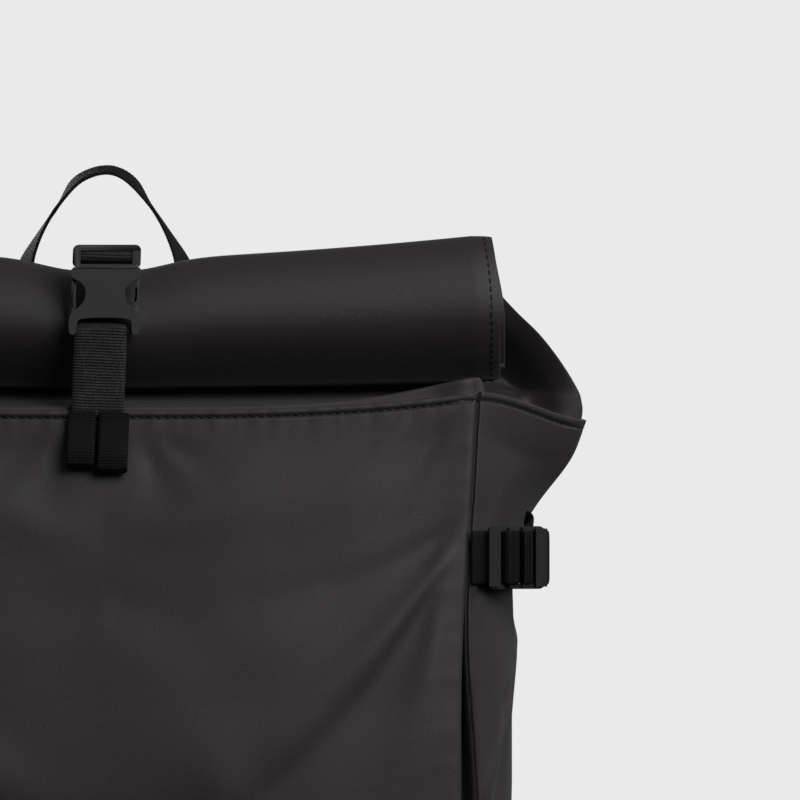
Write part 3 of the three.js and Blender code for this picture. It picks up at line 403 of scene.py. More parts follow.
def weave_group():
    """Height of a plain weave: threads along U and V as rectified sines, over and under in turn where the
    sign of the product of the same two sines changes."""
    group, entry, leave = new_group("weave", [("Place", None), ("Pitch", 0.0005)], ["Height"])
    split = group.nodes.new("ShaderNodeSeparateXYZ")
    group.links.new(entry.outputs["Place"], split.inputs[0])
    waves = []
    for axis in ("X", "Y"):
        turns = math_node(group, "DIVIDE", split.outputs[axis], entry.outputs["Pitch"])
        angle = math_node(group, "MULTIPLY", turns, math.pi)
        waves.append(math_node(group, "SINE", angle))
    over = math_node(group, "MULTIPLY", waves[0], waves[1])
    sign = math_node(group, "MULTIPLY_ADD", over, 2.0, clamp=True)
    sign.node.inputs[2].default_value = 0.5
    across = math_node(group, "ABSOLUTE", waves[0])
    along = math_node(group, "ABSOLUTE", waves[1])
    up = math_node(group, "MULTIPLY", across, sign)
    down = math_node(group, "MULTIPLY", along, math_node(group, "SUBTRACT", 1.0, sign))
    group.links.new(math_node(group, "ADD", up, down), leave.inputs["Height"])
    return group


WEAVE = weave_group()
print("sockets of the weave:", [item.name for item in WEAVE.interface.items_tree])

# %% Grain and dust


def grain_group():
    """Two noises: a coarse one for the slow change of colour over the cloth and a fine one for its grain."""
    group, entry, leave = new_group("grain", [("Place", None), ("Coarse", 14.0), ("Fine", 1400.0)],
                                    ["Slow", "Speckle"])
    for label, socket, detail in (("Coarse", "Slow", 4.0), ("Fine", "Speckle", 2.0)):
        noise = group.nodes.new("ShaderNodeTexNoise")
        noise.inputs["Detail"].default_value = detail
        group.links.new(entry.outputs["Place"], noise.inputs["Vector"])
        group.links.new(entry.outputs[label], noise.inputs["Scale"])
        group.links.new(noise.outputs["Fac"], leave.inputs[socket])
    return group


def dust_group():
    """Specks where a cell pattern's distance is small, in the cells whose random colour is below Amount."""
    group, entry, leave = new_group("dust", [("Place", None), ("Scale", 260.0), ("Amount", 0.3)], ["Mask"])
    cells = group.nodes.new("ShaderNodeTexVoronoi")
    group.links.new(entry.outputs["Place"], cells.inputs["Vector"])
    group.links.new(entry.outputs["Scale"], cells.inputs["Scale"])
    near = math_node(group, "LESS_THAN", cells.outputs["Distance"], 0.12)
    chance = math_node(group, "LESS_THAN", cells.outputs["Color"], entry.outputs["Amount"])
    group.links.new(math_node(group, "MULTIPLY", near, chance), leave.inputs["Mask"])
    return group


GRAIN, DUST = grain_group(), dust_group()
print("groups:", [group.name for group in (WEAVE, GRAIN, DUST)])

# %% [markdown]
# A finish is the same recipe with other values: a colour that drifts slowly and is broken up by the grain,
# a weave and the grain as bump, and dust. The weave reads the piece's UV map, which is in metres, so it
# follows the cloth round every fold. The handle, the loops and the side webbing look almost black, so
# they have the closure strap's webbing with painted shade, darker and duller, and the sliders the buckle's
# plastic with painted shade, darker.

# %% Materials


def finish(name, colour, roughness, weave=0.0, pitch=0.0005, grain=0.1, drift=0.15, sheen=0.0,
           bump=0.0001, specular=0.5, dust=0.02, coarse=14.0, fine=1400.0):
    """Principled surface: colour times (1 + drift of the slow noise + grain of the fine one), dust lifting
    it a little, weave and grain as the height of a Bump."""
    material = bpy.data.materials.new(name)
    material.use_nodes = True
    tree = material.node_tree
    shader = tree.nodes["Principled BSDF"]
    shader.inputs["Roughness"].default_value = roughness
    shader.inputs["Specular IOR Level"].default_value = specular
    shader.inputs["Sheen Weight"].default_value = sheen
    shader.inputs["Sheen Roughness"].default_value = 0.45
    place = tree.nodes.new("ShaderNodeTexCoord")
    uv = tree.nodes.new("ShaderNodeUVMap")
    uv.uv_map = "cloth_m"

    def group(kind, **values):
        node = tree.nodes.new("ShaderNodeGroup")
        node.node_tree = kind
        source = uv.outputs["UV"] if kind is WEAVE else place.outputs["Object"]
        tree.links.new(source, node.inputs["Place"])
        for label, value in values.items():
            node.inputs[label].default_value = value
        return node

    noise = group(GRAIN, Coarse=coarse, Fine=fine)
    specks = group(DUST)
    slow = math_node(tree, "MULTIPLY_ADD", noise.outputs["Slow"], 2 * drift)
    slow.node.inputs[2].default_value = 1 - drift
    quick = math_node(tree, "MULTIPLY_ADD", noise.outputs["Speckle"], 2 * grain)
    quick.node.inputs[2].default_value = -grain
    tone = math_node(tree, "ADD", slow, quick)
    lifted = math_node(tree, "MULTIPLY_ADD", specks.outputs["Mask"], dust / max(colour))
    tree.links.new(tone, lifted.node.inputs[2])
    tint = tree.nodes.new("ShaderNodeVectorMath")
    tint.operation = "SCALE"
    tint.inputs[0].default_value = colour
    tree.links.new(lifted, tint.inputs["Scale"])
    tree.links.new(tint.outputs[0], shader.inputs["Base Color"])
    height = math_node(tree, "MULTIPLY", noise.outputs["Speckle"], 0.6)
    if weave:
        threads = group(WEAVE, Pitch=pitch)
        woven = math_node(tree, "MULTIPLY", threads.outputs["Height"], weave)
        height = math_node(tree, "ADD", height, woven)
    relief = tree.nodes.new("ShaderNodeBump")
    relief.inputs["Distance"].default_value = bump
    tree.links.new(height, relief.inputs["Height"])
    tree.links.new(relief.outputs["Normal"], shader.inputs["Normal"])
    return material


CLOTH = finish("coated_cloth", (0.0335, 0.0275, 0.0325), 0.55, weave=0.08, pitch=0.0005, grain=0.75,
               drift=0.12, sheen=0.1, bump=0.00012, fine=2300.0)
WEBBING = finish("webbing", (0.0125, 0.011, 0.0125), 0.5, weave=0.5, pitch=0.0007, grain=0.5,
                 drift=0.1, sheen=0.1, bump=0.00014, fine=2600.0)
# The closure strap's webbing with painted shade, darker and duller, for the handle, the loops and the side
# webbing.
SHADED_WEBBING = finish("webbing_painted_shade", (0.0045, 0.004, 0.0045), 0.7, weave=0.5, pitch=0.0007, grain=0.5,
                      bump=0.00014, specular=0.25, fine=2600.0)
PLASTIC = finish("satin_plastic", (0.058, 0.056, 0.058), 0.4, grain=0.12, drift=0.05, bump=0.00002,
                 fine=4000.0, dust=0.01)
# The buckle's plastic with painted shade, darker, for the sliders.
SHADED_PLASTIC = finish("plastic_painted_shade", (0.016, 0.0155, 0.016), 0.32, grain=0.12, drift=0.05, bump=0.00002,
                      fine=4000.0, dust=0.01)
THREAD = finish("thread", (0.006, 0.0055, 0.006), 0.7, grain=0.2, drift=0.05, bump=0.00005, fine=5000.0)
PAD_MESH = finish("pad_mesh", (0.016, 0.015, 0.017), 0.8, weave=1.4, pitch=0.0016, grain=0.2, drift=0.1,
                  sheen=0.15, bump=0.0004)
BINDING = finish("binding", (0.018, 0.017, 0.019), 0.66, weave=1.0, pitch=0.0007, grain=0.2, drift=0.1,
                 sheen=0.15, bump=0.00012)
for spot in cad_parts["base_panel"].material_slots:     # the one solid that keeps its own mesh
    spot.material = BINDING
print("materials:", [m.name for m in bpy.data.materials])

# %% [markdown]
# ## The sewn body
# On the real bag four panels of cloth are sewn along four upright seams. The form between them is lofted:
# a table gives the half width at the front seams, the bulge of the sides, the depth and the belly at a few
# heights, and smooth curves join them. One function gives a point of the loft for any place across a panel
# and any height, and everything else is laid on it.

# %% Sizes of the body
BODY_HEIGHT, FRONT_WIDTH, SIDE_WIDTH, EAR_WIDTH = 373.0, 288.0, 316.0, 373.0
BODY_DEPTH, FRONT_SHARE = 118.0, 0.55
FRONT_BELLY, BACK_BELLY = 13.0, 4.0
CORNER_RISE, EAR_DROP, BASE_ROUND = 7.0, 4.0, 12.0
CLOTH_THICK = 1.6

BODY_LEVELS = [
    dict(height=0.0, front=0.955, side=0.92, ear=0.0, depth=0.96, belly=0.1),
    dict(height=0.1, front=0.957, side=0.96, ear=0.0, depth=1.01, belly=0.6),
    dict(height=0.3, front=0.957, side=0.98, ear=0.0, depth=1.05, belly=1.0),
    dict(height=0.6, front=0.957, side=0.993, ear=0.0, depth=1.03, belly=0.9),
    dict(height=0.7, front=0.959, side=0.998, ear=0.0, depth=1.0, belly=0.75),
    dict(height=0.76, front=0.964, side=1.004, ear=0.0, depth=0.97, belly=0.65),
    dict(height=0.82, front=0.972, side=1.0, ear=0.0, depth=0.94, belly=0.5),
    dict(height=0.87, front=0.98, side=0.995, ear=0.06, depth=0.91, belly=0.4),
    dict(height=0.91, front=0.986, side=1.0, ear=0.31, depth=0.89, belly=0.3),
    dict(height=0.96, front=0.993, side=1.0, ear=0.79, depth=0.86, belly=0.2),
    dict(height=1.0, front=1.0, side=1.0, ear=1.0, depth=0.84, belly=0.15),
]


def widest_point(node):
    """The vertex of a CAD node that lies furthest to the right, in millimetres."""
    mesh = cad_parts[node].data
    co = np.empty(len(mesh.vertices) * 3, np.float32)
    mesh.vertices.foreach_get("co", co)
    co = co.reshape(-1, 3) / MM
    return co[co[:, 0].argmax()]


# The loft is measured from the plane of the side seams. In the frame that plane lies where the ear's tip
# says: the tip is halfway between the front and back seams at the hem.
hem_depth = BODY_DEPTH * BODY_LEVELS[-1]["depth"]
SHIFT_Y = float(widest_point("side_gusset_right")[1]) - hem_depth * (0.5 - FRONT_SHARE)
print("loft's plane lies at y =", round(SHIFT_Y, 2), "mm")

# %% The loft


def body_level(up):
    """The table's row at a height, as half widths, front and back planes in millimetres."""
    ear = np.maximum(read_table(BODY_LEVELS, up, "ear"), 0)
    depth = read_table(BODY_LEVELS, up, "depth") * BODY_DEPTH
    return dict(
        seam=read_table(BODY_LEVELS, up, "front") * FRONT_WIDTH / 2,
        side=read_table(BODY_LEVELS, up, "side") * SIDE_WIDTH / 2 + ear * (EAR_WIDTH - SIDE_WIDTH) / 2,
        ear=ear,
        front=SHIFT_Y - FRONT_SHARE * depth,
        back=SHIFT_Y + (1 - FRONT_SHARE) * depth,
        belly=read_table(BODY_LEVELS, up, "belly"),
    )


def turned_under(points, height):
    """Below the round's radius the loft is drawn in towards the middle along a quarter circle."""
    turn = np.clip(height / BASE_ROUND, 0, 1)
    inset = BASE_ROUND * (1 - np.sqrt(1 - (1 - turn) ** 2))
    points[..., 0] *= 1 - inset / (FRONT_WIDTH / 2)
    points[..., 1] = SHIFT_Y + (points[..., 1] - SHIFT_Y) * (1 - inset / (BODY_DEPTH / 2))
    return points


def front_point(side, up):
    """Front panel: side runs from -1 to 1 between the seams. The belly is fullest in the middle and dies
    out at the seams as one minus the cube of the distance from the middle."""
    level = body_level(up)
    hem = BODY_HEIGHT + CORNER_RISE * np.abs(side) ** 3
    y = level["front"] - level["belly"] * FRONT_BELLY * (1 - np.abs(side) ** 3)
    return turned_under(np.stack([level["seam"] * side, y, hem * up], axis=-1), hem * up)


def back_point(side, up):
    """Back panel: side runs from 1 to -1, and the belly dies out with the fourth power."""
    level = body_level(up)
    y = level["back"] + level["belly"] * BACK_BELLY * (1 - side**4)
    z = BODY_HEIGHT * up + 0 * side
    return turned_under(np.stack([level["seam"] * side, y, z], axis=-1), z)


def gusset_point(turn, up):
    """Right gusset: turn runs from 0 at the front seam to 1 at the back one. Low down the section is a
    round bulge, and towards the ear it becomes a crease."""
    level = body_level(up)
    away = np.abs(2 * turn - 1)
    creased = np.minimum(level["ear"] * 1.4, 1)
    bulge = mixed(1 - away**2.4, 1 - away**1.15, creased)
    x = mixed(level["seam"], level["side"], bulge)
    y = mixed(level["front"], level["back"], turn)
    rise = np.where(turn < 0.5, mixed(CORNER_RISE, -EAR_DROP, smooth(turn, 0, 0.5)),
                    mixed(-EAR_DROP, 0, smooth(turn, 0.5, 1)))
    z = (BODY_HEIGHT + rise) * up
    return turned_under(np.stack([x, y, z], axis=-1), z)


print("front seam at the hem:", front_point(np.array(1.0), np.array(1.0)).round(1))
print("ear's tip:", gusset_point(np.array(0.5), np.array(1.0)).round(1))

# %% [markdown]
# ## Folds, seams and hems
# Cloth never hangs true. Long soft folds fan out from the corners where the straps pull; beside each seam
# the stitches draw the cloth into short puckers; and the hem is a turned edge, thicker than the panel, with
# a groove where its topstitch sinks in. Folds are a short table of lines, each with a width and a relief.
# A sharp fold is narrow on one side and wide on the other, as a crease that the cloth remembers.

# %% Tables of folds
# start and end are shares of the panel's half width and height, width and relief are in millimetres.
FRONT_FOLDS = [
    dict(start=(0.97, 0.835), end=(0.28, 0.62), width=15.0, relief=4.2, sharp=0.3),
    dict(start=(0.93, 0.81), end=(0.4, 0.58), width=13.0, relief=-4.5, sharp=0.5),
    dict(start=(0.95, 0.86), end=(0.42, 0.80), width=11.0, relief=-2.2, sharp=0.3),
    dict(start=(0.95, 0.80), end=(0.66, 0.45), width=17.0, relief=3.4, sharp=0.3),
    dict(start=(0.97, 0.66), end=(0.9, 0.35), width=9.0, relief=1.6, sharp=0.4),
    dict(start=(0.90, 0.965), end=(0.62, 0.83), width=7.0, relief=-1.3, sharp=0.4),
    dict(start=(0.80, 0.975), end=(0.55, 0.88), width=8.0, relief=1.2, sharp=0.2),
    dict(start=(0.13, 0.945), end=(0.155, 0.905), width=8.0, relief=-1.5, sharp=0.1),
    dict(start=(0.2, 0.885), end=(0.62, 0.905), width=19.0, relief=2.6, sharp=0.0),
    dict(start=(0.2, 0.96), end=(0.3, 0.93), width=7.0, relief=-0.9, sharp=0.2),
    dict(start=(0.05, 0.80), end=(0.5, 0.70), width=18.0, relief=-1.2, sharp=0.0),
    dict(start=(0.35, 0.60), end=(0.75, 0.2), width=22.0, relief=1.8, sharp=0.2),
    dict(start=(0.1, 0.45), end=(0.6, 0.25), width=18.0, relief=-2.0, sharp=0.2),
    dict(start=(0.9, 0.1), end=(0.3, 0.22), width=16.0, relief=-2.0, sharp=0.3),
]
GUSSET_FOLDS = [
    dict(start=(0.47, 0.77), end=(0.13, 0.60), width=6.5, relief=1.8, sharp=0.45),
    dict(start=(0.30, 0.70), end=(0.10, 0.50), width=8.0, relief=-2.2, sharp=0.3),
    dict(start=(0.08, 0.80), end=(0.35, 0.88), width=5.0, relief=-2.0, sharp=0.4),
    dict(start=(0.06, 0.83), end=(0.25, 0.95), width=4.0, relief=1.3, sharp=0.3),
    dict(start=(0.60, 0.80), end=(0.75, 0.60), width=8.0, relief=-2.4, sharp=0.3),
    dict(start=(0.95, 0.75), end=(0.55, 0.45), width=9.0, relief=2.0, sharp=0.4),
    dict(start=(0.15, 0.45), end=(0.60, 0.2), width=10.0, relief=-3.0, sharp=0.3),
    dict(start=(0.90, 0.35), end=(0.45, 0.12), width=9.0, relief=2.4, sharp=0.3),
]
BACK_FOLDS = [
    dict(start=(0.9, 0.85), end=(0.3, 0.72), width=16.0, relief=-2.0, sharp=0.2),
    dict(start=(0.95, 0.4), end=(0.3, 0.3), width=18.0, relief=-1.8, sharp=0.2),
    dict(start=(0.85, 0.1), end=(0.2, 0.16), width=14.0, relief=1.6, sharp=0.2),
]
print("folds:", len(FRONT_FOLDS), "front,", len(GUSSET_FOLDS), "gusset,", len(BACK_FOLDS), "back")

# %% Folds as relief
FOLD_BOW = 0.05           # how far a fold bows from its straight line, as a share of its length


def fold_relief(across_mm, up_mm, folds, half_width, height):
    """Sum over the folds of relief times a bell across the fold's line. The bell widens along the line
    and its relief fades, and on the sharp side it is narrower by the share sharp."""
    total = np.zeros(np.broadcast(across_mm, up_mm).shape)
    for fold in folds:
        start = np.array(fold["start"]) * (half_width, height)
        end = np.array(fold["end"]) * (half_width, height)
        line = end - start
        length = np.linalg.norm(line)
        dx, dz = across_mm - start[0], up_mm - start[1]
        along = (dx * line[0] + dz * line[1]) / length**2
        side = (dx * line[1] - dz * line[0]) / length
        part = np.clip(along, 0, 1)
        bent = side + FOLD_BOW * length * np.sin(np.pi * part)
        width = fold["width"] * np.where(bent > 0, 1 - fold["sharp"], 1.0) * (0.55 + 0.6 * part)
        past = np.maximum(np.abs(along - 0.5) - 0.5, 0) * length / fold["width"]
        bell = np.exp(-(bent / width) ** 2 - past**2)
        total += fold["relief"] * bell * (1 - 0.55 * part)
    return total


print("highest front fold in the table:", max(fold["relief"] for fold in FRONT_FOLDS), "mm")

# %% Puckers, seams, hems and slack


def uneven_wave(distance, pitch, seed):
    """Bumps along a seam at about one a pitch, never quite even: a few sines of unlike pitch and phase."""
    random = np.random.default_rng(seed)
    total = 0
    for stretch, weight in ((1.0, 0.5), (1.63, 0.35), (0.61, 0.3), (2.7, 0.25)):
        phase = random.uniform(0, 2 * math.pi)
        total = total + weight * np.sin(2 * math.pi * distance / (pitch * stretch) + phase)
    return total


SEAM_DEPTH, SEAM_WIDTH = 3.0, 1.1
PUCKER_HEIGHT, PUCKER_PITCH, PUCKER_REACH = 0.16, 11.0, 9.0
HEM_STITCH_DROP = 2.9     # topstitch below the hem's edge


def seam_relief(away, along, seed, deep=0.0):
    """Beside a seam: the cloth turns in by SEAM_DEPTH plus deep, and puckers fade away from it."""
    depth = SEAM_DEPTH + deep
    width = SEAM_WIDTH * (1 + 0.22 * deep)
    valley = -depth * np.exp(-((away / width) ** 1.3))
    pucker = PUCKER_HEIGHT * uneven_wave(along, PUCKER_PITCH, seed) * np.exp(-away / PUCKER_REACH)
    return valley + pucker * (1 - np.exp(-(away / 1.5) ** 2))


def hem_relief(below, along, seed):
    """Under the hem's edge: a rolled lip, a groove at the topstitch, and gathers that fade downwards."""
    lip = 0.18 * smooth(HEM_STITCH_DROP - below, -0.2, 0.9) - 0.3 * np.exp(-((below / 0.4) ** 2))
    groove = -1.1 * np.exp(-(((below - HEM_STITCH_DROP) / 0.6) ** 2))
    gather = 0.22 * uneven_wave(along, 8.0, seed) * np.exp(-((below - HEM_STITCH_DROP) / 6.0) ** 2)
    return lip + groove + gather


def slack(across_mm, up_mm, seed):
    """Large, low unevenness of loaded cloth: five slanting sines of unlike lengths."""
    random = np.random.default_rng(seed)
    total = 0
    for length, weight in ((140, 0.9), (85, 0.6), (52, 0.4), (31, 0.2), (17, 0.08)):
        angle, phase = random.uniform(0, math.pi), random.uniform(0, 2 * math.pi)
        way = across_mm * math.cos(angle) + up_mm * math.sin(angle)
        total = total + weight * np.sin(2 * math.pi * way / length + phase)
    return total


print("a seam's valley is", SEAM_DEPTH, "mm deep, its puckers", PUCKER_HEIGHT, "mm high")

# %% [markdown]
# Each panel is one grid. The rows crowd together near the hem and the base, and the columns near the seams,
# because that is where the small detail is. The relief moves each point along the loft's own normal, and
# the inside follows at the cloth's thickness. One fold is deeper than it is wide: below the strap the gusset
# folds back beside the front seam, and a dark gap opens. Relief along the normal would cross itself there,
# so this one moves the cloth straight back instead.

# %% The wall of a panel


def panel(name, place, columns, rows, relief, slot_node, sink=None):
    """A wall between place(column, row) moved out by relief and the same grid moved in by the cloth.
    sink moves both straight back, into the bag, for folds that are deeper than they are wide."""
    c, r = np.meshgrid(columns, rows)
    base = place(c, r)
    normals = grid_normals(base)
    across = arc_lengths(base, 1)
    push = relief(c, r, across)
    if sink is not None:
        base = base + np.array([0.0, 1.0, 0.0]) * sink(across, r * BODY_HEIGHT)[..., None]
    outer = base + normals * push[..., None]
    inner = base + normals * (push - CLOTH_THICK)[..., None]
    piece = make_piece(name, *sheet_parts(outer, inner), material=CLOTH)
    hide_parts(slot_node)
    print(name, "triangles:", 2 * len(piece.data.polygons), "highest relief:", round(float(push.max()), 1))
    return piece, outer


def panel_rows(count):
    """Shares of the height: fine near the hem, even below, and a few in the round at the base."""
    hem = 1 - np.linspace(0, 9, 26) / BODY_HEIGHT
    low = np.linspace(BASE_ROUND / BODY_HEIGHT, 1 - 9.6 / BODY_HEIGHT, count)
    round_rows = BASE_ROUND / BODY_HEIGHT * np.array([0, 0.04, 0.12, 0.25, 0.42, 0.6, 0.8])
    return np.concatenate([round_rows, low, hem[::-1]])


def panel_columns(count, seam_share):
    """Shares from 0 to 1: eight fine columns at each seam, even between."""
    edge = np.array([0.0, 0.1, 0.2, 0.32, 0.45, 0.6, 0.75, 0.9]) * seam_share
    return np.concatenate([edge, np.linspace(seam_share, 1 - seam_share, count), 1 - edge[::-1]])


print("columns:", len(panel_columns(150, 0.018)), "rows:", len(panel_rows(190)))

# %% Front panel


def front_relief(side, up, across):
    """Folds and slack in the middle of the panel, seams at its sides, hem at its top."""
    total = across[:, -1:]
    away = np.minimum(across, total - across)
    x, z = side * FRONT_WIDTH / 2, up * BODY_HEIGHT
    inside = smooth(away, 0, 14) * smooth(1 - up, 0, 0.05) * smooth(up, 0.0, 0.06)
    folds = fold_relief(np.abs(x), z, FRONT_FOLDS, FRONT_WIDTH / 2, BODY_HEIGHT)
    below = (1 - up) * BODY_HEIGHT
    return ((0.55 * folds + 0.28 * slack(x, z, 3)) * inside + seam_relief(away, z, 11, -1.7)
            + hem_relief(below, x, 5) * smooth(away, 0, 4))


front_columns = panel_columns(150, 0.018)
front_outer = panel("front_cloth", lambda a, u: front_point(2 * a - 1, u), front_columns, panel_rows(190),
                    lambda a, u, s: front_relief(2 * a - 1, u, s), "front_panel")[1]

# %% Side gusset


def gusset_relief(turn, up, across):
    """The same for a gusset. Its folds fade towards the ear's crease, and the hem's relief at its tip."""
    total = across[:, -1:]
    z = up * BODY_HEIGHT
    away = np.minimum(across, total - across)
    inside = smooth(away, 0, 10) * smooth(1 - up, 0, 0.06) * smooth(up, 0.0, 0.06)
    ear_crease = 1 - 0.8 * smooth(up, 0.86, 0.95)
    folds = fold_relief(across, z, GUSSET_FOLDS, np.max(total), BODY_HEIGHT)
    below = (1 - up) * BODY_HEIGHT
    at_ear = 1 - 0.85 * np.exp(-(((turn - 0.5) / 0.06) ** 2))
    return ((0.8 * folds + 0.3 * slack(across, z, 7)) * inside * ear_crease + seam_relief(away, z, 11, -2.0)
            + hem_relief(below, across, 6) * smooth(away, 0, 4) * at_ear)


def gusset_sink(across, z):
    """Just beside the front seam, where the edge itself stays put, the gusset folds straight back: a thin
    line above the strap, and below it a fold that opens downwards and closes again above the base."""
    wide = 1.7 + 6.6 * smooth(290 - z, 0, 78)
    deep = 3.6 + 18.0 * smooth(305 - z, 0, 60)
    open_here = smooth(across, -0.15, 0.85) * mixed(0.08, 1, smooth(z, 60, 190))
    return deep * np.exp(-((across / wide) ** 3)) * open_here


gusset_columns = panel_columns(75, 0.036)
gusset_piece, gusset_outer = panel("gusset_cloth_right", gusset_point, gusset_columns, panel_rows(190),
                                   gusset_relief, "side_gusset_right", gusset_sink)

# %% Back panel


def back_relief(side, up, across):
    """The back panel is plainer: long shallow folds, the seams and the hem, and nothing under the pads."""
    total = across[:, -1:]
    away = np.minimum(across, total - across)
    x, z = side * FRONT_WIDTH / 2, up * BODY_HEIGHT
    inside = smooth(away, 0, 14) * smooth(1 - up, 0, 0.05) * smooth(up, 0.0, 0.06)
    folds = fold_relief(np.abs(x), z, BACK_FOLDS, FRONT_WIDTH / 2, BODY_HEIGHT)
    under_pads = 1 - 0.9 * smooth(z, 250, 290)
    below = (1 - up) * BODY_HEIGHT
    return ((folds + 0.3 * slack(x, z, 9)) * inside * under_pads + seam_relief(away, z, 12)
            + 0.6 * hem_relief(below, x, 8) * smooth(away, 0, 4))


back_columns = panel_columns(90, 0.018)
back_outer = panel("back_cloth", lambda a, u: back_point(1 - 2 * a, u), back_columns, panel_rows(120),
                   lambda a, u, s: back_relief(1 - 2 * a, u, s), "back_panel")[1]

# %% [markdown]
# The photograph shows the right side alone, and a bag is sewn alike on both, so the left pieces are mirrored
# copies. A mirrored mesh is inside out until its faces are turned round.

# %% Mirrored pieces


def mirror_piece(piece, name, *nodes):
    """A copy of a piece on the other side of the bag: x changes sign and every face is turned round."""
    mesh = piece.data.copy()
    count = len(mesh.vertices)
    co = np.empty(count * 3, np.float32)
    mesh.vertices.foreach_get("co", co)
    co = co.reshape(-1, 3) * np.array([-1, 1, 1], np.float32)
    mesh.vertices.foreach_set("co", co.ravel())
    mesh.flip_normals()
    mesh.update()
    copy = bpy.data.objects.new(name, mesh)
    bpy.context.scene.collection.objects.link(copy)
    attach(copy, "root")
    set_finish(copy, piece["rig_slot"])
    for modifier in piece.modifiers:
        twin = copy.modifiers.new(modifier.name, modifier.type)
        for key in ("width", "segments", "limit_method", "angle_limit", "harden_normals"):
            if hasattr(modifier, key):
                setattr(twin, key, getattr(modifier, key))
    if nodes:
        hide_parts(*nodes)
    return copy


left_gusset = mirror_piece(gusset_piece, "gusset_cloth_left", "side_gusset_left")
print(left_gusset.name, "triangles:", 2 * len(left_gusset.data.polygons))

# %% [markdown]
# ## The collar and its roll
# Above the hem the cloth goes on as one wide tube. It is pinched flat, side fold to side fold, and rolled
# down over the front. The tube part follows a few rows given by a table, each saying how far the front, the
# side fold and the back have travelled towards the roll, and a smooth curve joins the rows. The roll is a
# flat double band wound on a rounded-square spiral. Its nose is high on the front and it draws back below,
# the strap dents it in the middle, and its ends ride up and slant in towards the top.

# %% Sizes of the collar
COLLAR_THICK, COLLAR_TUCK, COLLAR_GAP = 1.3, 15.0, 0.5
CORNER_PUFF, SIDE_PLEAT = 4.0, 27.0
ROLL_LENGTH, ROLL_HEIGHT, ROLL_DEPTH = 304.0, 58.0, 33.0
ROLL_LIFT, ROLL_TURNS, ROLL_AIR = 6.0, 2.3, 1.1
END_LIFT_LOW, END_LIFT_TOP = 2.0, 5.5
ROLL_SLOPE, STRAP_DIP, DIP_REACH = 5.2, 4.2, 19.0
ROLL_TUCK, ROLL_SLANT = 17.5, 4.5     # how far the roll's front draws back below and above its widest line
WEB_WIDTH, WEB_THICK, WEB_GAP = 20.0, 1.5, 0.4
ROLL_START = 0.2

# frontIn, earIn and backIn: shares of the way to the roll's back. frontUp, earUp and backUp: of its height.
COLLAR_STEPS = [
    dict(frontIn=0.06, earIn=0.03, backIn=0.04, frontUp=0.03, earUp=0.132, backUp=0.14, hem=1.0,
         narrow=0.0, puff=1.0, pleat=0.95),
    dict(frontIn=0.45, earIn=0.12, backIn=0.18, frontUp=0.05, earUp=0.2, backUp=0.34, hem=0.3,
         narrow=0.08, puff=0.1, pleat=1.0),
    dict(frontIn=0.92, earIn=0.3, backIn=0.42, frontUp=0.13, earUp=0.38, backUp=0.58, hem=0.0,
         narrow=0.26, puff=0.0, pleat=0.85),
    dict(frontIn=1.06, earIn=0.55, backIn=0.7, frontUp=0.42, earUp=0.607, backUp=0.78, hem=0.0,
         narrow=0.5, puff=0.0, pleat=0.5),
    dict(frontIn=1.05, earIn=0.8, backIn=0.88, frontUp=0.7, earUp=0.815, backUp=0.91, hem=0.0,
         narrow=0.78, puff=0.0, pleat=0.15),
]

hem_level = body_level(np.array(1.0))
HEM_FRONT, HEM_BACK, HEM_SEAM = (float(hem_level[k]) for k in ("front", "back", "seam"))
BAND = 2 * COLLAR_THICK
ROLL_BOTTOM = BODY_HEIGHT + ROLL_LIFT
ROLL_PITCH = BAND + ROLL_AIR
ROLL_Y, ROLL_Z = HEM_FRONT + ROLL_DEPTH / 2, ROLL_BOTTOM + ROLL_HEIGHT / 2
print("the roll's middle is at y =", round(ROLL_Y, 1), "and z =", round(ROLL_Z, 1), "mm")

# %% The roll's spiral


def pressed(x, z):
    """The strap presses the roll down in the middle and its ends ride a little higher."""
    outward = (x / (ROLL_LENGTH / 2)) ** 2
    lift = END_LIFT_LOW * outward
    away = np.maximum(np.abs(x) - WEB_WIDTH / 2, 0)
    slope = ROLL_SLOPE * np.maximum(1 - away / (ROLL_LENGTH / 2), 0)
    dip = STRAP_DIP * np.exp(-((away / DIP_REACH) ** 2))
    share = 1 - (slope + dip - (END_LIFT_TOP - END_LIFT_LOW) * outward) / ROLL_HEIGHT
    low = z + lift * np.maximum(z - BODY_HEIGHT, 0) / ROLL_LIFT
    return np.where(z <= ROLL_BOTTOM, low, ROLL_BOTTOM + lift + (z - ROLL_BOTTOM) * share)


def roll_line(angle):
    """The spiral's middle line: a rounded square whose reach shrinks by one pitch a turn."""
    inward = ROLL_PITCH * (angle - ROLL_START) / (2 * math.pi)
    reach_y = ROLL_DEPTH / 2 - BAND / 2 - inward
    reach_z = ROLL_HEIGHT / 2 - BAND / 2 - inward

    def bend(value):
        return np.sign(value) * np.abs(value) ** 0.85

    y = ROLL_Y + reach_y * bend(np.cos(angle))
    z = ROLL_Z + reach_z * bend(np.sin(angle))
    nose = ROLL_Z - 2
    low = np.clip((nose - z) / (nose - ROLL_Z + ROLL_HEIGHT / 2), 0, 1)
    high = np.clip((z - nose) / (ROLL_HEIGHT / 2), 0, 1)
    front = smooth(-np.cos(angle), -0.6, 0.7)
    return y + (ROLL_TUCK * low**1.25 + ROLL_SLANT * high**1.25) * front, z


def roll_normal(angle):
    """The direction across the band, outwards."""
    (y1, z1), (y0, z0) = roll_line(angle + 0.02), roll_line(angle - 0.02)
    length = np.hypot(y1 - y0, z1 - z0)
    return (z1 - z0) / length, -(y1 - y0) / length


print("the band's end is at", [round(float(v), 1) for v in roll_line(ROLL_START + 2 * math.pi * ROLL_TURNS)])

# %% The hem's columns
FRONT_STEPS, GUSSET_STEPS = 16, 10


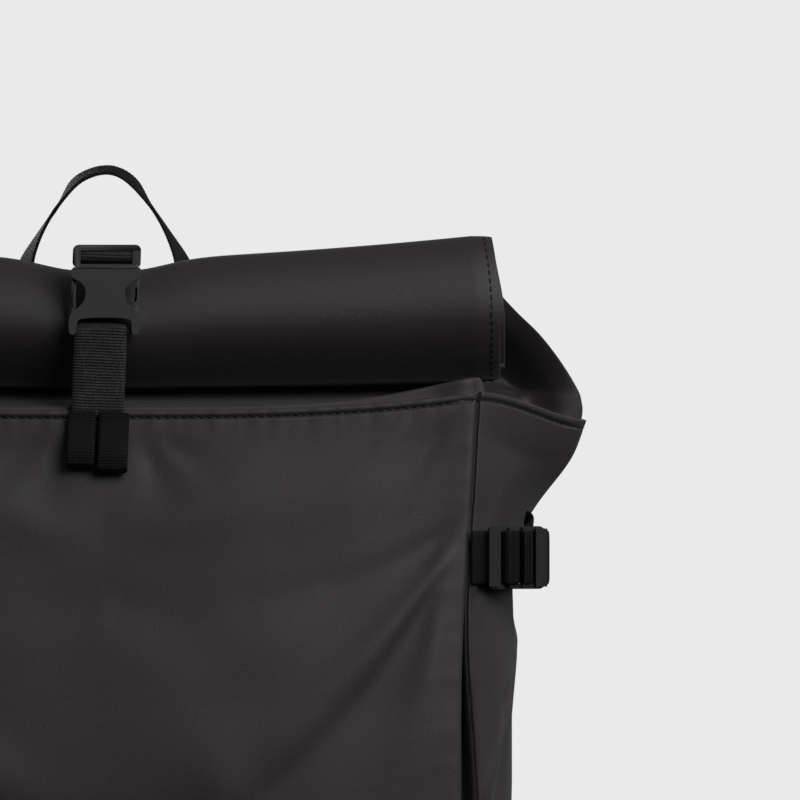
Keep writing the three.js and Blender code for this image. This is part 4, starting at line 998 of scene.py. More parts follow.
def hem_ring(up, inset):
    """The loft's outline at a height, moved in: columns run counter-clockwise from the left front seam."""
    front = np.arange(FRONT_STEPS) / FRONT_STEPS
    side = np.arange(GUSSET_STEPS) / GUSSET_STEPS
    right = gusset_point(side, np.full(GUSSET_STEPS, up))
    left = gusset_point(1 - side, np.full(GUSSET_STEPS, up)) * (-1, 1, 1)
    ring = np.concatenate([front_point(2 * front - 1, np.full(FRONT_STEPS, up)), right,
                           back_point(1 - 2 * front, np.full(FRONT_STEPS, up)), left])
    along = np.roll(ring, -1, 0) - np.roll(ring, 1, 0)
    outward = unit(np.stack([along[:, 1], -along[:, 0], 0 * along[:, 0]], axis=-1))
    return ring - outward * inset


collar_inset = CLOTH_THICK + COLLAR_GAP
tuck_ring = hem_ring(1 - COLLAR_TUCK / BODY_HEIGHT, collar_inset)
hem_row = hem_ring(1.0, collar_inset)
outline = hem_ring(1.0, 0.0)
RING = len(outline)
EAR_RIGHT, EAR_LEFT = FRONT_STEPS + GUSSET_STEPS // 2, RING - GUSSET_STEPS // 2
half_ring = np.roll(outline, -EAR_LEFT, 0)[: RING // 2 + 1]
half_lengths = arc_lengths(half_ring, 0)
half_shares = 2 * half_lengths / half_lengths[-1] - 1
from_left = (np.arange(RING) - EAR_LEFT) % RING
share = half_shares[np.where(from_left <= RING // 2, from_left, RING - from_left)]
layer = np.where((from_left == 0) | (from_left == RING // 2), 0, np.where(from_left < RING // 2, -1, 1))
ear_tip = outline[EAR_RIGHT]
meet_y, meet_z = roll_line(ROLL_START)
print("columns round the hem:", RING, "ear's tip at", ear_tip.round(1))

# %% [markdown]
# Behind the front corners the tube's side folds inwards in a pleat, which is the dark pocket that shows
# between the hem and the roll's end. How far a column lies from its wall towards the ear's tip says how much
# of the pleat it takes.

# %% The pleat and the collar's control rows
wall_y = np.where(layer > 0, HEM_BACK - CLOTH_THICK, HEM_FRONT + CLOTH_THICK)
toward_ear = np.clip((hem_row[:, 1] - wall_y) / (ear_tip[1] - wall_y), 0, 1)
pleat_shape = np.where(layer < 0, smooth(toward_ear, 0.03, 0.3) * (1 - smooth(toward_ear, 0.64, 0.92)), 0)
PLEAT_WAY = np.array([-0.3, 0.9, 0.0])     # on the right side: inwards and back
mirrored_way = np.stack([np.sign(hem_row[:, 0]), np.ones(RING), np.ones(RING)], axis=-1) * PLEAT_WAY
hem_pleat = (pleat_shape * SIDE_PLEAT)[:, None] * mirrored_way
CORNER_INSIDE, CORNER_OUTSIDE = 34, 5      # reach of the puff on each side of the front corner


def collar_row(step):
    """One control row: every column moves from the hem towards the roll's back by its wall's own share,
    narrows from the hem's width to the roll's, puffs up at the front corners and takes its share of the
    pleat."""
    behind = layer > 0
    x = mixed(hem_row[:, 0], share * ROLL_LENGTH / 2, step["narrow"])
    y_wall = mixed(wall_y, meet_y, np.where(behind, step["backIn"], step["frontIn"]))
    y_ear = mixed(ear_tip[1], meet_y, step["earIn"])
    wall_up = np.where(behind, step["backUp"], step["frontUp"])
    rise = mixed(wall_up, step["earUp"], toward_ear) * (meet_z - BODY_HEIGHT)
    past = np.abs(hem_row[:, 0]) - HEM_SEAM
    near_corner = np.exp(-((past / np.where(past < 0, CORNER_INSIDE, CORNER_OUTSIDE)) ** 2))
    puff = np.where(layer < 0, step["puff"] * CORNER_PUFF * near_corner, 0)
    z = pressed(x, BODY_HEIGHT + rise) + (hem_row[:, 2] - BODY_HEIGHT) * step["hem"] + puff
    return np.stack([x, mixed(y_wall, y_ear, toward_ear), z], axis=-1) + hem_pleat * step["pleat"]


print("columns in the pleat:", int((pleat_shape > 0.5).sum()))

# %% Rows of the roll
SLANT_Z, SLANT_REACH = 404, 34       # the ends slant in from this height, over this distance
ROLL_OVER, ROLL_SLANT_IN, INNER_OUT = 0.8, 3.8, 1.9


def roll_end(z, angle):
    """How much longer than ROLL_LENGTH the roll is: its ends slant in towards the top, and the inner
    turns stand out a little past the outer one."""
    slant = ROLL_OVER - ROLL_SLANT_IN * np.clip((z - SLANT_Z) / SLANT_REACH, 0, 1) ** 2.0
    inner = smooth(angle, ROLL_START + 1.85 * math.pi, ROLL_START + 2.3 * math.pi)
    return slant + INNER_OUT * inner * (1 - smooth(z, SLANT_Z, SLANT_Z + 24))


def roll_row(angle, share_at, layer_at):
    """One row of the roll: the band's middle line moved to its outer or inner face by layer_at, which goes
    smoothly through 0 at the side folds."""
    y, z = roll_line(angle)
    ny, nz = roll_normal(angle)
    thick = layer_at * BAND / 2
    x = share_at * (ROLL_LENGTH / 2 + roll_end(z, angle))
    return np.stack([x, y + ny * thick + 0 * x, pressed(x, z + nz * thick)], axis=-1)


FINE_COLUMNS, FINE_ROWS, ROLL_ROWS = 8, 8, 84
roll_angles = ROLL_START + 2 * math.pi * ROLL_TURNS * np.linspace(0, 1, ROLL_ROWS + 1)
print("the roll's ends at the nose are", round(float(roll_end(ROLL_Z, ROLL_START)), 1), "mm past its length")

# %% [markdown]
# The control rows are few and the mesh needs many, so the smooth curve runs twice: once round every row,
# then up every column. Between the control columns the share along the band and the layer follow the same
# curve as the points. The roll comes straight from its formula, with as many columns as the tube.

# %% The collar as one grid
fine_share = through(share[:, None], FINE_COLUMNS, closed=True)[:, 0]
fine_layer = through(layer[:, None].astype(float), FINE_COLUMNS, closed=True)[:, 0]
fine_layer = np.clip(fine_layer, -1, 1)

control_rows = [tuck_ring + 0.5 * hem_pleat, hem_row + 0.85 * hem_pleat]
control_rows += [collar_row(step) for step in COLLAR_STEPS]
control_rows += [roll_row(a, share, layer) for a in roll_angles[:2]]
control = np.stack(control_rows)
fine = through(control.transpose(1, 0, 2), FINE_COLUMNS, closed=True).transpose(1, 0, 2)
tube_rows = through(fine, FINE_ROWS)[: FINE_ROWS * (len(control) - 2)]
roll_rows = np.stack([roll_row(a, fine_share, fine_layer) for a in roll_angles])
collar_outer = np.concatenate([tube_rows, roll_rows])
print("collar grid:", collar_outer.shape[0], "rows,", collar_outer.shape[1], "columns")

# %% The collar's mesh


def collar_body():
    """The outer grid over tube and roll, the tube's inside, a rim at the bottom, and two zips: the cut end
    inside the roll and the top of the tube are closed from one side fold to the other."""
    columns = collar_outer.shape[1]
    partner = (2 * EAR_LEFT * FINE_COLUMNS - np.arange(columns)) % columns
    walls = collar_outer[:len(tube_rows) + 1]
    across = walls[:, partner] - walls
    width = np.linalg.norm(across, axis=-1, keepdims=True)
    inner = walls + unit(across) * np.minimum(1.2 * COLLAR_THICK, 0.3 * width)
    total = collar_outer.shape[0]
    points = np.concatenate([collar_outer.reshape(-1, 3), inner.reshape(-1, 3)])
    start = total * columns
    faces = [quads(total, columns, closed_columns=True),
             quads(len(inner), columns, start, closed_columns=True, flip=True)]
    c = np.arange(columns)
    n = (c + 1) % columns
    faces.append(np.stack([start + c, start + n, n, c], axis=-1))
    left = EAR_LEFT * FINE_COLUMNS
    i = (left + np.arange(columns // 2)) % columns
    j = (i + 1) % columns
    for base, outwards in ((start - columns, True), (start + (len(inner) - 1) * columns, False)):
        ring = np.stack([base + i, base + j, base + partner[j], base + partner[i]], axis=-1)
        faces.append(ring if outwards else ring[:, ::-1])
    uv = np.stack([arc_lengths(collar_outer, 1), arc_lengths(collar_outer, 0)], axis=-1).reshape(-1, 2) * MM
    inner_uv = uv[: inner.shape[0] * columns]
    return points, np.concatenate(faces), np.concatenate([uv, inner_uv])


collar_piece = make_piece("collar_cloth", *collar_body(), material=CLOTH)
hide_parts("collar")
print("collar triangles:", 2 * len(collar_piece.data.polygons))

# %% [markdown]
# ## Webbing
# Strap webbing is a flat band whose weft stands out as fine ribs across it, about one a millimetre. At this
# size the ribs show, so they are real: the band's section is a flat oval carried along a path, and its
# thickness swells and shrinks along the way. The edges bulge a little with each rib, as a woven edge does,
# and two slow waves keep the ribs from being perfectly straight.

# %% A band along a path
RIB_PITCH, RIB_STEPS, RIB_HEIGHT = 1.12, 6, 0.34


def even_path(points, spacing, smooth_steps=12):
    """The smooth curve through the points, sampled again at equal distances."""
    curve = through(points, smooth_steps)
    lengths = arc_lengths(curve, 0)
    count = max(int(round(lengths[-1] / spacing)), 2)
    at = np.linspace(0, lengths[-1], count + 1)
    columns = [np.interp(at, lengths, curve[:, i]) for i in range(curve.shape[1])]
    return np.stack(columns, axis=-1), at


def band_grid(path, wide, at, width, thick, rib, around=28):
    """Rings of a flat oval: the cosine of the angle across the band, the root of one minus its tenth
    power as its thickness, and a rectified sine along the path as ribs."""
    angle = 2 * math.pi * np.arange(around) / around
    across = np.cos(angle)[None, :]
    bulge = (1 - np.abs(across) ** 10) ** 0.5 * np.sign(np.sin(angle) + 1e-9)[None, :]
    along = unit(np.gradient(path, axis=0))
    wide = unit(wide - (wide * along).sum(-1, keepdims=True) * along)
    face = np.cross(along, wide)
    wobble = 0.22 * np.sin(at[:, None] / 6.3 + 3 * across) + 0.1 * np.sin(at[:, None] / 2.1 - 5 * across)
    wave = np.abs(np.sin(math.pi * at[:, None] / RIB_PITCH + wobble)) ** 0.7
    half = thick / 2 - rib + rib * wave
    reach = width / 2 - 0.25 + 0.25 * wave
    return (path[:, None] + wide[:, None] * (across * reach)[..., None]
            + face[:, None] * (bulge * half)[..., None])


def zipped(start, count, outwards):
    """Quads that close a ring of corners whose first and middle ones are its two poles."""
    i = np.arange(count // 2)
    j = i + 1
    faces = start + np.stack([i, j, (count - j) % count, (count - i) % count], axis=-1)
    return faces if outwards else faces[:, ::-1]


def closed_rings(grid):
    """Points, faces and UVs of a grid of rings with both ends zipped shut."""
    rows, around = grid.shape[:2]
    faces = np.concatenate([quads(rows, around, closed_columns=True),
                            zipped((rows - 1) * around, around, True),
                            zipped(0, around, False)])
    uv = np.stack([arc_lengths(grid, 1), arc_lengths(grid, 0)], axis=-1).reshape(-1, 2) * MM
    return grid.reshape(-1, 3), faces, uv


def turned_out(parts):
    """The same parts with every face turned round if the volume they enclose comes out negative."""
    points, faces, uv = parts
    a, b, c, d = (points[faces[:, k]] for k in range(4))
    volume = (np.cross(a, b) * c).sum() + (np.cross(a, c) * d).sum()
    return (points, faces[:, ::-1], uv) if volume < 0 else parts


def webbing(name, points, wide, *nodes, width=20.0, thick=1.5, rib=RIB_HEIGHT, smooth_steps=12,
            material=WEBBING):
    """A ribbed band through control points. wide gives the direction of its width at each of them, and
    is carried along the smooth curve together with the points."""
    both = np.concatenate([np.asarray(points, float), np.broadcast_to(wide, np.shape(points))], axis=1)
    path = even_path(both, RIB_PITCH / RIB_STEPS, smooth_steps)[0]
    at = np.concatenate([[0], np.cumsum(np.linalg.norm(np.diff(path[:, :3], axis=0), axis=-1))])
    grid = band_grid(path[:, :3], path[:, 3:], at, width, thick, rib)
    piece = make_piece(name, *turned_out(closed_rings(grid)), material=material, slot="webbing")
    if nodes:
        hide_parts(*nodes)
    print(name, round(at[-1], 1), "mm long,", 2 * len(piece.data.polygons), "triangles")
    return piece


print("ribs:", RIB_PITCH, "mm apart and", RIB_HEIGHT, "mm high")

# %% [markdown]
# ## The front closure
# One strap comes up the back of the collar, goes over the roll and through the buckle's upper half, and
# folds back. A second, short one comes up from the hem and round a bar in the lower half. Both lean about
# two degrees in the photograph, so every piece of the closure is sheared by the same small amount.

# %% Closure sizes
BUCKLE_TOP = BODY_HEIGHT + 64.0
BUCKLE_WIDTH, BUCKLE_HEIGHT, BUCKLE_THICK = 27.6, 35.0, 7.6
FRAME_HEIGHT = 9.2
BUCKLE_BOTTOM = BUCKLE_TOP - BUCKLE_HEIGHT
FRAME_BASE = BUCKLE_TOP - FRAME_HEIGHT
BUCKLE_Y = HEM_FRONT - 2 * WEB_GAP - BUCKLE_THICK / 2
MALE_THICK = 0.8 * BUCKLE_THICK
MALE_SLOT_Z = FRAME_BASE + FRAME_HEIGHT / 2
LEAN, LEAN_Z = math.tan(math.radians(2.1)), 395.0
X_AXIS, Y_AXIS, Z_AXIS = np.eye(3)


def leaning(points):
    """Points moved sideways by their height above LEAN_Z."""
    points = np.array(points, float)
    points[..., 0] += (points[..., 2] - LEAN_Z) * LEAN
    return points


def upright(line):
    """Points at x = 0 from pairs of depth and height."""
    line = np.asarray(line, float)
    return np.stack([0 * line[:, 0], line[:, 0], line[:, 1]], axis=-1)


OFF = WEB_GAP + WEB_THICK / 2     # from a surface to the middle of the webbing that lies on it
print("buckle from z =", BUCKLE_BOTTOM, "to", BUCKLE_TOP, "mm, in front of y =", round(BUCKLE_Y, 1))

# %% The closure's two straps


def upper_strap_line():
    """Depth and height: up the outside of the back panel and the collar, over the roll, down through the
    slot and back on itself."""
    middle = FRONT_STEPS + GUSSET_STEPS + FRONT_STEPS // 2
    hem_back = float(body_level(np.array(1.0))["back"] + 0.15 * BACK_BELLY)
    low = [(float(back_point(np.array(0.0), np.array(u))[1]) + OFF + 0.3, BODY_HEIGHT * u)
           for u in (0.91, 0.935, 0.96)]
    line = low + [(hem_back + OFF + 0.2, BODY_HEIGHT + OFF)]
    rows = [row[middle] for row in control_rows[2:7]]
    line += [(p[1] + OFF * 0.9, p[2] + OFF) for p in rows]
    for angle in np.linspace(ROLL_START + 0.35, math.pi * 0.64, 9):
        y, z = roll_line(angle)
        ny, nz = roll_normal(angle)
        line.append((y + ny * (COLLAR_THICK + OFF), float(pressed(0.0, z + nz * (COLLAR_THICK + OFF)))))
    fold = WEB_THICK / 2 + 1.0
    front = BUCKLE_Y - MALE_THICK / 2 + WEB_THICK / 2
    line += [(BUCKLE_Y + MALE_THICK / 2 + 0.8, MALE_SLOT_Z - fold), (front + 1.0, MALE_SLOT_Z - fold),
             (front, MALE_SLOT_Z), (front + 1.0, MALE_SLOT_Z + fold),
             (BUCKLE_Y + MALE_THICK / 2 + 2, MALE_SLOT_Z + fold)]
    return upright(line)


LOW_BAR_TOP = BUCKLE_BOTTOM + 2.6
hem_face = HEM_FRONT - 0.15 * FRONT_BELLY - 0.6
lower_line = upright([
    (BUCKLE_Y + 2.2, LOW_BAR_TOP + OFF), (BUCKLE_Y + 0.4, LOW_BAR_TOP + OFF + 0.3),
    (BUCKLE_Y - OFF - 0.1, LOW_BAR_TOP), (BUCKLE_Y - OFF + 0.1, BUCKLE_BOTTOM - 2),
    (hem_face - OFF - 0.7, BODY_HEIGHT + 14), (hem_face - OFF - 0.3, BODY_HEIGHT + 4),
    (hem_face - OFF, BODY_HEIGHT - 2.5),
])
LOWER_SHIFT = np.array([-1.4, 0.0, 0.0])     # the strap and loops below the buckle hang a little left
webbing("strap_upper", leaning(upper_strap_line()), X_AXIS, "closure_strap_upper", width=20.6)
webbing("strap_lower", leaning(lower_line) + LOWER_SHIFT, X_AXIS, "closure_strap_lower", width=20.6)

# %% [markdown]
# The two small loops below the hem are folded from webbing with painted shade, doubled back on themselves,
# with a slit between them. Each is a band whose path goes down the panel, round a small circle and up again.

# %% Loops
LOOP_TOP, LOOP_BOTTOM = BODY_HEIGHT - 1.0, BODY_HEIGHT - 21.5
LOOP_WIDTHS = {"left": 11.0, "right": 11.8}
LOOP_SLIT, LOOP_RADIUS = 1.0, 2.5


def loop_line(drop):
    """Down the panel, round the fold at the bottom, and up in front to the seam."""
    low = LOOP_BOTTOM - drop + LOOP_RADIUS

    def face(z):
        return float(front_point(np.array(0.0), np.array(z / BODY_HEIGHT))[1]) - OFF - 0.4

    line = [(face(LOOP_TOP - 2), LOOP_TOP - 2), (face(LOOP_TOP - 8), LOOP_TOP - 8)]
    turn = np.linspace(0.15, math.pi * 0.94, 8)
    line += [(face(low) - LOOP_RADIUS * (1 - math.cos(t)), low - LOOP_RADIUS * math.sin(t)) for t in turn]
    line += [(face(low) - 2 * LOOP_RADIUS + 0.3, low + 5), (face(LOOP_TOP) - WEB_THICK * 1.9, LOOP_TOP - 5),
             (face(LOOP_TOP) - WEB_THICK * 1.35, LOOP_TOP)]
    return upright(line)


for side_name, sign, drop in (("left", -1, 0.0), ("right", 1, 2.0)):
    loop_wide = LOOP_WIDTHS[side_name]
    line = leaning(loop_line(drop)) + LOWER_SHIFT + X_AXIS * (sign * (LOOP_SLIT + loop_wide) / 2 + 0.1)
    webbing(f"loop_{side_name}", line, X_AXIS, f"front_loop_{side_name}", width=loop_wide, rib=0.26,
            material=SHADED_WEBBING)

# %% [markdown]
# ## Moulded plastic
# The buckle is injection moulded: flat faces, every edge rounded by the tool. A plate is drawn as an
# outline, given its thickness, and its edges are rounded by a Bevel modifier with a few segments. Frames
# with slots are drawn as a grid of cells with the slots left out. Such shapes have few corners, so here
# bmesh, Blender's own mesh editor for scripts, is simpler than a grid.

# %% Plates with rounded edges
BEVEL_FROM = math.radians(40)        # edges sharper than this are rounded


def rounded_piece(name, mesh_maker, place, bevel, *nodes, segments=3, material=PLASTIC):
    """Builds a bmesh in its own plane, carries it into place, and rounds its sharp edges."""
    shape = bmesh.new()
    mesh_maker(shape)
    bmesh.ops.recalc_face_normals(shape, faces=shape.faces)
    mesh = bpy.data.meshes.new(name)
    shape.to_mesh(mesh)
    shape.free()
    co = np.empty(len(mesh.vertices) * 3, np.float32)
    mesh.vertices.foreach_get("co", co)
    placed = place(co.reshape(-1, 3).astype(float)) * MM
    mesh.vertices.foreach_set("co", placed.astype(np.float32).ravel())
    mesh.polygons.foreach_set("use_smooth", np.ones(len(mesh.polygons), bool))
    mesh.materials.append(material)
    mesh.update()
    piece = bpy.data.objects.new(name, mesh)
    bpy.context.scene.collection.objects.link(piece)
    rounding = piece.modifiers.new("rounding", "BEVEL")
    rounding.width = bevel * MM
    rounding.segments = segments
    rounding.limit_method = "ANGLE"
    rounding.angle_limit = BEVEL_FROM
    rounding.harden_normals = True
    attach(piece, "root")
    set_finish(piece, "plastic")
    if nodes:
        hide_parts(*nodes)
    return piece


print("edges turn round from", round(math.degrees(BEVEL_FROM)), "degrees")

# %% Prisms and slotted frames


def thickened(shape, faces, depth):
    """The faces extruded along y by depth."""
    top = bmesh.ops.extrude_face_region(shape, geom=faces)
    moved = [v for v in top["geom"] if isinstance(v, bmesh.types.BMVert)]
    bmesh.ops.translate(shape, verts=moved, vec=(0, depth, 0))


def prism(shape, outline, back, front):
    """A face with the outline's corners at depth back, carried to depth front."""
    ring = [shape.verts.new((x, back, z)) for x, z in outline]
    thickened(shape, [shape.faces.new(ring)], front - back)


def slotted(shape, xs, zs, holes, back, front, corner):
    """Cells between the lines xs and zs, without those listed in holes, with thickness. The frame's four
    outer corners are rounded by corner."""
    grid = [[shape.verts.new((x, back, z)) for x in xs] for z in zs]
    faces = []
    for r in range(len(zs) - 1):
        for c in range(len(xs) - 1):
            if (c, r) not in holes:
                cell = [grid[r][c], grid[r][c + 1], grid[r + 1][c + 1], grid[r + 1][c]]
                faces.append(shape.faces.new(cell))
    thickened(shape, faces, front - back)
    bmesh.ops.dissolve_limit(shape, angle_limit=0.01, verts=shape.verts, edges=shape.edges)
    ends = {(round(x, 4), round(z, 4)) for x in (xs[0], xs[-1]) for z in (zs[0], zs[-1])}
    edges = [e for e in shape.edges
             if all((round(v.co.x, 4), round(v.co.z, 4)) in ends for v in e.verts)
             and abs(e.verts[0].co.y - e.verts[1].co.y) > 0.1]
    bmesh.ops.bevel(shape, geom=edges, offset=corner, segments=5, affect="EDGES", profile=0.5)


print("a frame's corners are rounded in 5 steps")

# %% The buckle's lower half


def mirrored_outline(half):
    """The right half of an outline from its bottom to its top, and its mirror back down."""
    right = np.asarray(half, float)
    left = right[::-1] * (-1, 1)
    return np.concatenate([right, left])


def rounded_outline(half, steps=5):
    """A smooth closed line through the corners of a mirrored outline, steps points from each to the next."""
    return through(mirrored_outline(half), steps, closed=True)


LOWER_HEIGHT = FRAME_BASE - 0.35 - BUCKLE_BOTTOM
female_half = [
    (4.0, 6.6), (9.2, 6.0), (10.5, 4.6), (10.7, 1.6), (11.4, 0.2), (12.8, 0.2), (13.6, 1.8), (13.7, 5.4),
    (12.9, 8.2), (10.6, 10.3), (8.4, 12.6), (7.6, 15.4), (7.9, 18.0), (9.6, 20.2), (12.4, 21.7),
    (13.4, 22.9), (13.5, 24.6), (13.3, LOWER_HEIGHT - 0.2), (12.9, LOWER_HEIGHT), (6.0, LOWER_HEIGHT),
]


def at_buckle(points):
    """From the buckle's own plane, bottom at 0, to its place on the roll."""
    return leaning(points + (0, BUCKLE_Y, BUCKLE_BOTTOM))


def lower_half(shape):
    """An hourglass plate with two feet in front, and a thinner one behind the strap's pocket."""
    outline = rounded_outline(female_half)
    prism(shape, outline, -0.4, -BUCKLE_THICK / 2)
    rear = [(x * 0.97, max(z, 4.8)) for x, z in outline if z > 4.7]
    prism(shape, rear, BUCKLE_THICK / 2, 0.6)
    for side in (-1, 1):
        foot = [(side * x, z) for x, z in ((10.9, 0.9), (13.2, 0.9), (13.2, 8.0), (10.9, 8.0))]
        prism(shape, foot, BUCKLE_THICK / 2 - 0.5, -0.8)
    bar = [(-11.5, 0.4), (11.5, 0.4), (11.5, 2.6), (-11.5, 2.6)]
    prism(shape, bar, 2.9, 0.2)


rounded_piece("buckle_lower", lower_half, at_buckle, 1.05, "buckle_female", segments=4)
print("the lower half is", round(LOWER_HEIGHT, 1), "mm high")

# %% The buckle's upper half


def upper_half(shape):
    """A slotted frame, a tongue that reaches into the lower half, and the two springy side arms that show
    in the lower half's side windows."""
    half, low = BUCKLE_WIDTH / 2 - 0.7, LOWER_HEIGHT + 0.35
    xs = [-half, -half + 3.1, half - 3.1, half]
    zs = [low, low + 1.5, low + 6.6, low + 8.9]
    slotted(shape, xs, zs, {(1, 1)}, MALE_THICK / 2, -MALE_THICK / 2, 2.2)
    prism(shape, [(-11, low - 4), (11, low - 4), (11, low + 0.8), (-11, low + 0.8)], 0.5, -0.35)
    for side in (-1, 1):
        arm = [(12.9, low + 0.2), (11.0, low + 0.2), (11.4, 21.0), (11.5, 15.0), (11.0, 9.2), (12.5, 8.2),
               (13.0, 12.0), (13.1, 17.0), (13.0, 22.0)]
        prism(shape, [(side * x, z) for x, z in arm], 1.7, -1.9)


rounded_piece("buckle_upper", upper_half, at_buckle, 0.7, "buckle_male")
print("the upper half's frame is", round(BUCKLE_WIDTH - 1.4, 1), "mm wide")

# %% [markdown]
# ## Side compression straps
# On each side a short webbing from the front seam and a long one from the back seam meet in a flat slider
# with three slots. In plan they are lines that weave over and under its bars. The free end of the front
# webbing stands up a little behind the slider.

# %% The slider
SIDE_Z = BODY_HEIGHT - 56.8
SLIDER_LENGTH, SLIDER_WIDTH, SLIDER_THICK = 24.5, 24.2, 2.4
END_BAR, THIN_BAR = 4.8, 2.0
SLIDER_SLOT = (SLIDER_LENGTH - 2 * END_BAR - 2 * THIN_BAR) / 3
SLIDER_TURN = math.radians(24)
TAIL_RISE = 8.5
side_level = {k: float(v) for k, v in body_level(np.array(SIDE_Z / BODY_HEIGHT)).items()}
slider_along = np.array([math.cos(SLIDER_TURN), math.sin(SLIDER_TURN), 0.0])
slider_out = np.array([slider_along[1], -slider_along[0], 0.0])
slider_reach = float(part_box("side_slider_right")[1].x / MM)
slider_end = np.array([slider_reach - slider_out[0] * SLIDER_THICK / 2,
                       side_level["front"] + 4 + slider_along[1] * SLIDER_LENGTH, SIDE_Z])
slider_middle = slider_end - slider_along * SLIDER_LENGTH / 2


def on_slider(along, out, up=0.0):
    """A place given by the way along the slider, out of its face and up."""
    return slider_middle + slider_along * along + slider_out * out + Z_AXIS * up


def slider_shape(shape):
    """The slider in its own plane: x along it, z across it, front face towards -y."""
    half, tall = SLIDER_LENGTH / 2, SLIDER_WIDTH / 2
    steps = [END_BAR, SLIDER_SLOT, THIN_BAR, SLIDER_SLOT, THIN_BAR, SLIDER_SLOT, END_BAR]
    xs = list(-half + np.concatenate([[0], np.cumsum(steps)]))
    zs = [-tall, -tall + 2.1, tall - 2.1, tall]
    slotted(shape, xs, zs, {(1, 1), (3, 1), (5, 1)}, SLIDER_THICK / 2, -0.1, 3.0)
    for low, high in zip(xs[::2], xs[1::2]):
        inset = 0.9 if low in (xs[0], xs[-2]) else 0.5
        bar = [(low, inset - tall), (high, inset - tall), (high, tall - inset), (low, tall - inset)]
        prism(shape, bar, -0.3, -SLIDER_THICK / 2 - 0.3)


def slider_placed(points):
    """x along the slider and -y out of its face."""
    return (slider_middle + points[:, :1] * slider_along - points[:, 1:2] * slider_out
            + points[:, 2:] * Z_AXIS)


# The sliders have the buckle's plastic with painted shade.
slider_piece = rounded_piece("slider_right", slider_shape, slider_placed, 0.6, "side_slider_right",
                             material=SHADED_PLASTIC)
print("the slider's middle is at", slider_middle.round(1))

# %% The side webbings
SLOT_STEP = SLIDER_SLOT + THIN_BAR
OVER = SLIDER_THICK / 2 + OFF               # middle of webbing that lies on the slider
UNDER = OVER + WEB_THICK + WEB_GAP          # and of webbing that lies on that webbing
CROSS = 0.75                                # half the way along the slider that a slot's crossing takes


def side_front_line():
    """From the front seam under the first bar, over the first thin one, and out behind as the free end."""
    end = SLIDER_LENGTH / 2
    first = np.array([side_level["seam"] + WEB_GAP + 1.0, side_level["front"] - 0.8, SIDE_Z])
    return np.array([
        first, mixed(first, on_slider(-end - 1, -OVER), 0.5) - slider_along * 0.2, on_slider(-end - 1, -OVER),
        on_slider(-SLOT_STEP - CROSS - 1.5, -OVER), on_slider(-SLOT_STEP - CROSS * 0.7, -OVER),
        on_slider(-SLOT_STEP + CROSS * 0.7, OVER), on_slider(-SLOT_STEP + 2.6, OVER + 0.1),
        on_slider(-CROSS * 0.9, OVER), on_slider(CROSS * 0.9, -OVER - 0.3), on_slider(2.4, -UNDER, 1.0),
        on_slider(end * 0.5, -UNDER - 0.8, 2.5),
        on_slider(end * 0.5 + 2.8, -UNDER - 3.2, TAIL_RISE * 0.7),
        on_slider(end * 0.5 + 3.0, -UNDER - 9.5, TAIL_RISE),
    ])


def side_rear_line():
    """Over the second thin bar, under the end bar, and round the gusset to the back seam."""
    end = SLIDER_LENGTH / 2
    line = [on_slider(CROSS + 1.1, OVER), on_slider(SLOT_STEP - CROSS - 0.8, OVER + 0.1),
            on_slider(SLOT_STEP - CROSS * 0.8, OVER), on_slider(SLOT_STEP + CROSS * 0.8, -OVER),
            on_slider(end + 0.6, -OVER), on_slider(end + 2.6, -OVER - 1.8)]
    for share_x, share_y in ((0.85, 0.32), (0.55, 0.46)):
        line.append(np.array([mixed(side_level["side"], slider_reach, share_x),
                              mixed(side_level["front"], side_level["back"], share_y), SIDE_Z]))
    for turn in (0.62, 0.72, 0.82, 0.91, 0.97):
        ups = (SIDE_Z + np.array([-0.5, 0, 0.5]) * WEB_WIDTH) / BODY_HEIGHT
        near = gusset_point(np.full(3, turn), ups)
        line.append(np.array([near[:, 0].max() + WEB_THICK + WEB_GAP * 2 + 0.4,
                              near[1, 1] + WEB_GAP * 2, SIDE_Z]))
    return np.array(line)


# The side webbings have the closure strap's webbing with painted shade.
front_web = webbing("side_webbing_front_right", side_front_line(), Z_AXIS, "side_strap_front_right",
                    smooth_steps=8, width=20.9, material=SHADED_WEBBING)
rear_web = webbing("side_webbing_rear_right", side_rear_line(), Z_AXIS, "side_strap_rear_right",
                   smooth_steps=8, width=20.9, material=SHADED_WEBBING)
mirror_piece(slider_piece, "slider_left", "side_slider_left")
mirror_piece(front_web, "side_webbing_front_left", "side_strap_front_left")
mirror_piece(rear_web, "side_webbing_rear_left", "side_strap_rear_left")

# %% [markdown]
# ## The grab handle
# The handle is one webbing sewn flat on the back, whose legs turn edge-on to the front as they rise. So
# from the front the arch is a thin line that widens towards its feet. Its path is a few points read off the
# photograph, and the direction of its width turns with the height.

# %% Handle
HANDLE_TOP = BODY_HEIGHT + 94.0
HANDLE_SPAN, HANDLE_FOOT = 76.0, 34.0
HANDLE_LEAN = 1.9                    # how much wider its left half is
HANDLE_TILT = math.radians(9)        # how far the band leans over at the apex
HANDLE_ARCH = [(35.0, 391.0), (31.5, 422.0), (29.0, 431.5), (25.7, 438.5), (21.3, 446.2), (16.1, 453.9),
               (9.2, 462.8)]     # half width and height, read off the photograph


def back_face(z):
    """Where webbing lies on the back panel's middle at a height."""
    return float(back_point(np.array(0.0), np.array(min(z / BODY_HEIGHT, 1.0)))[1]) + OFF + 0.4


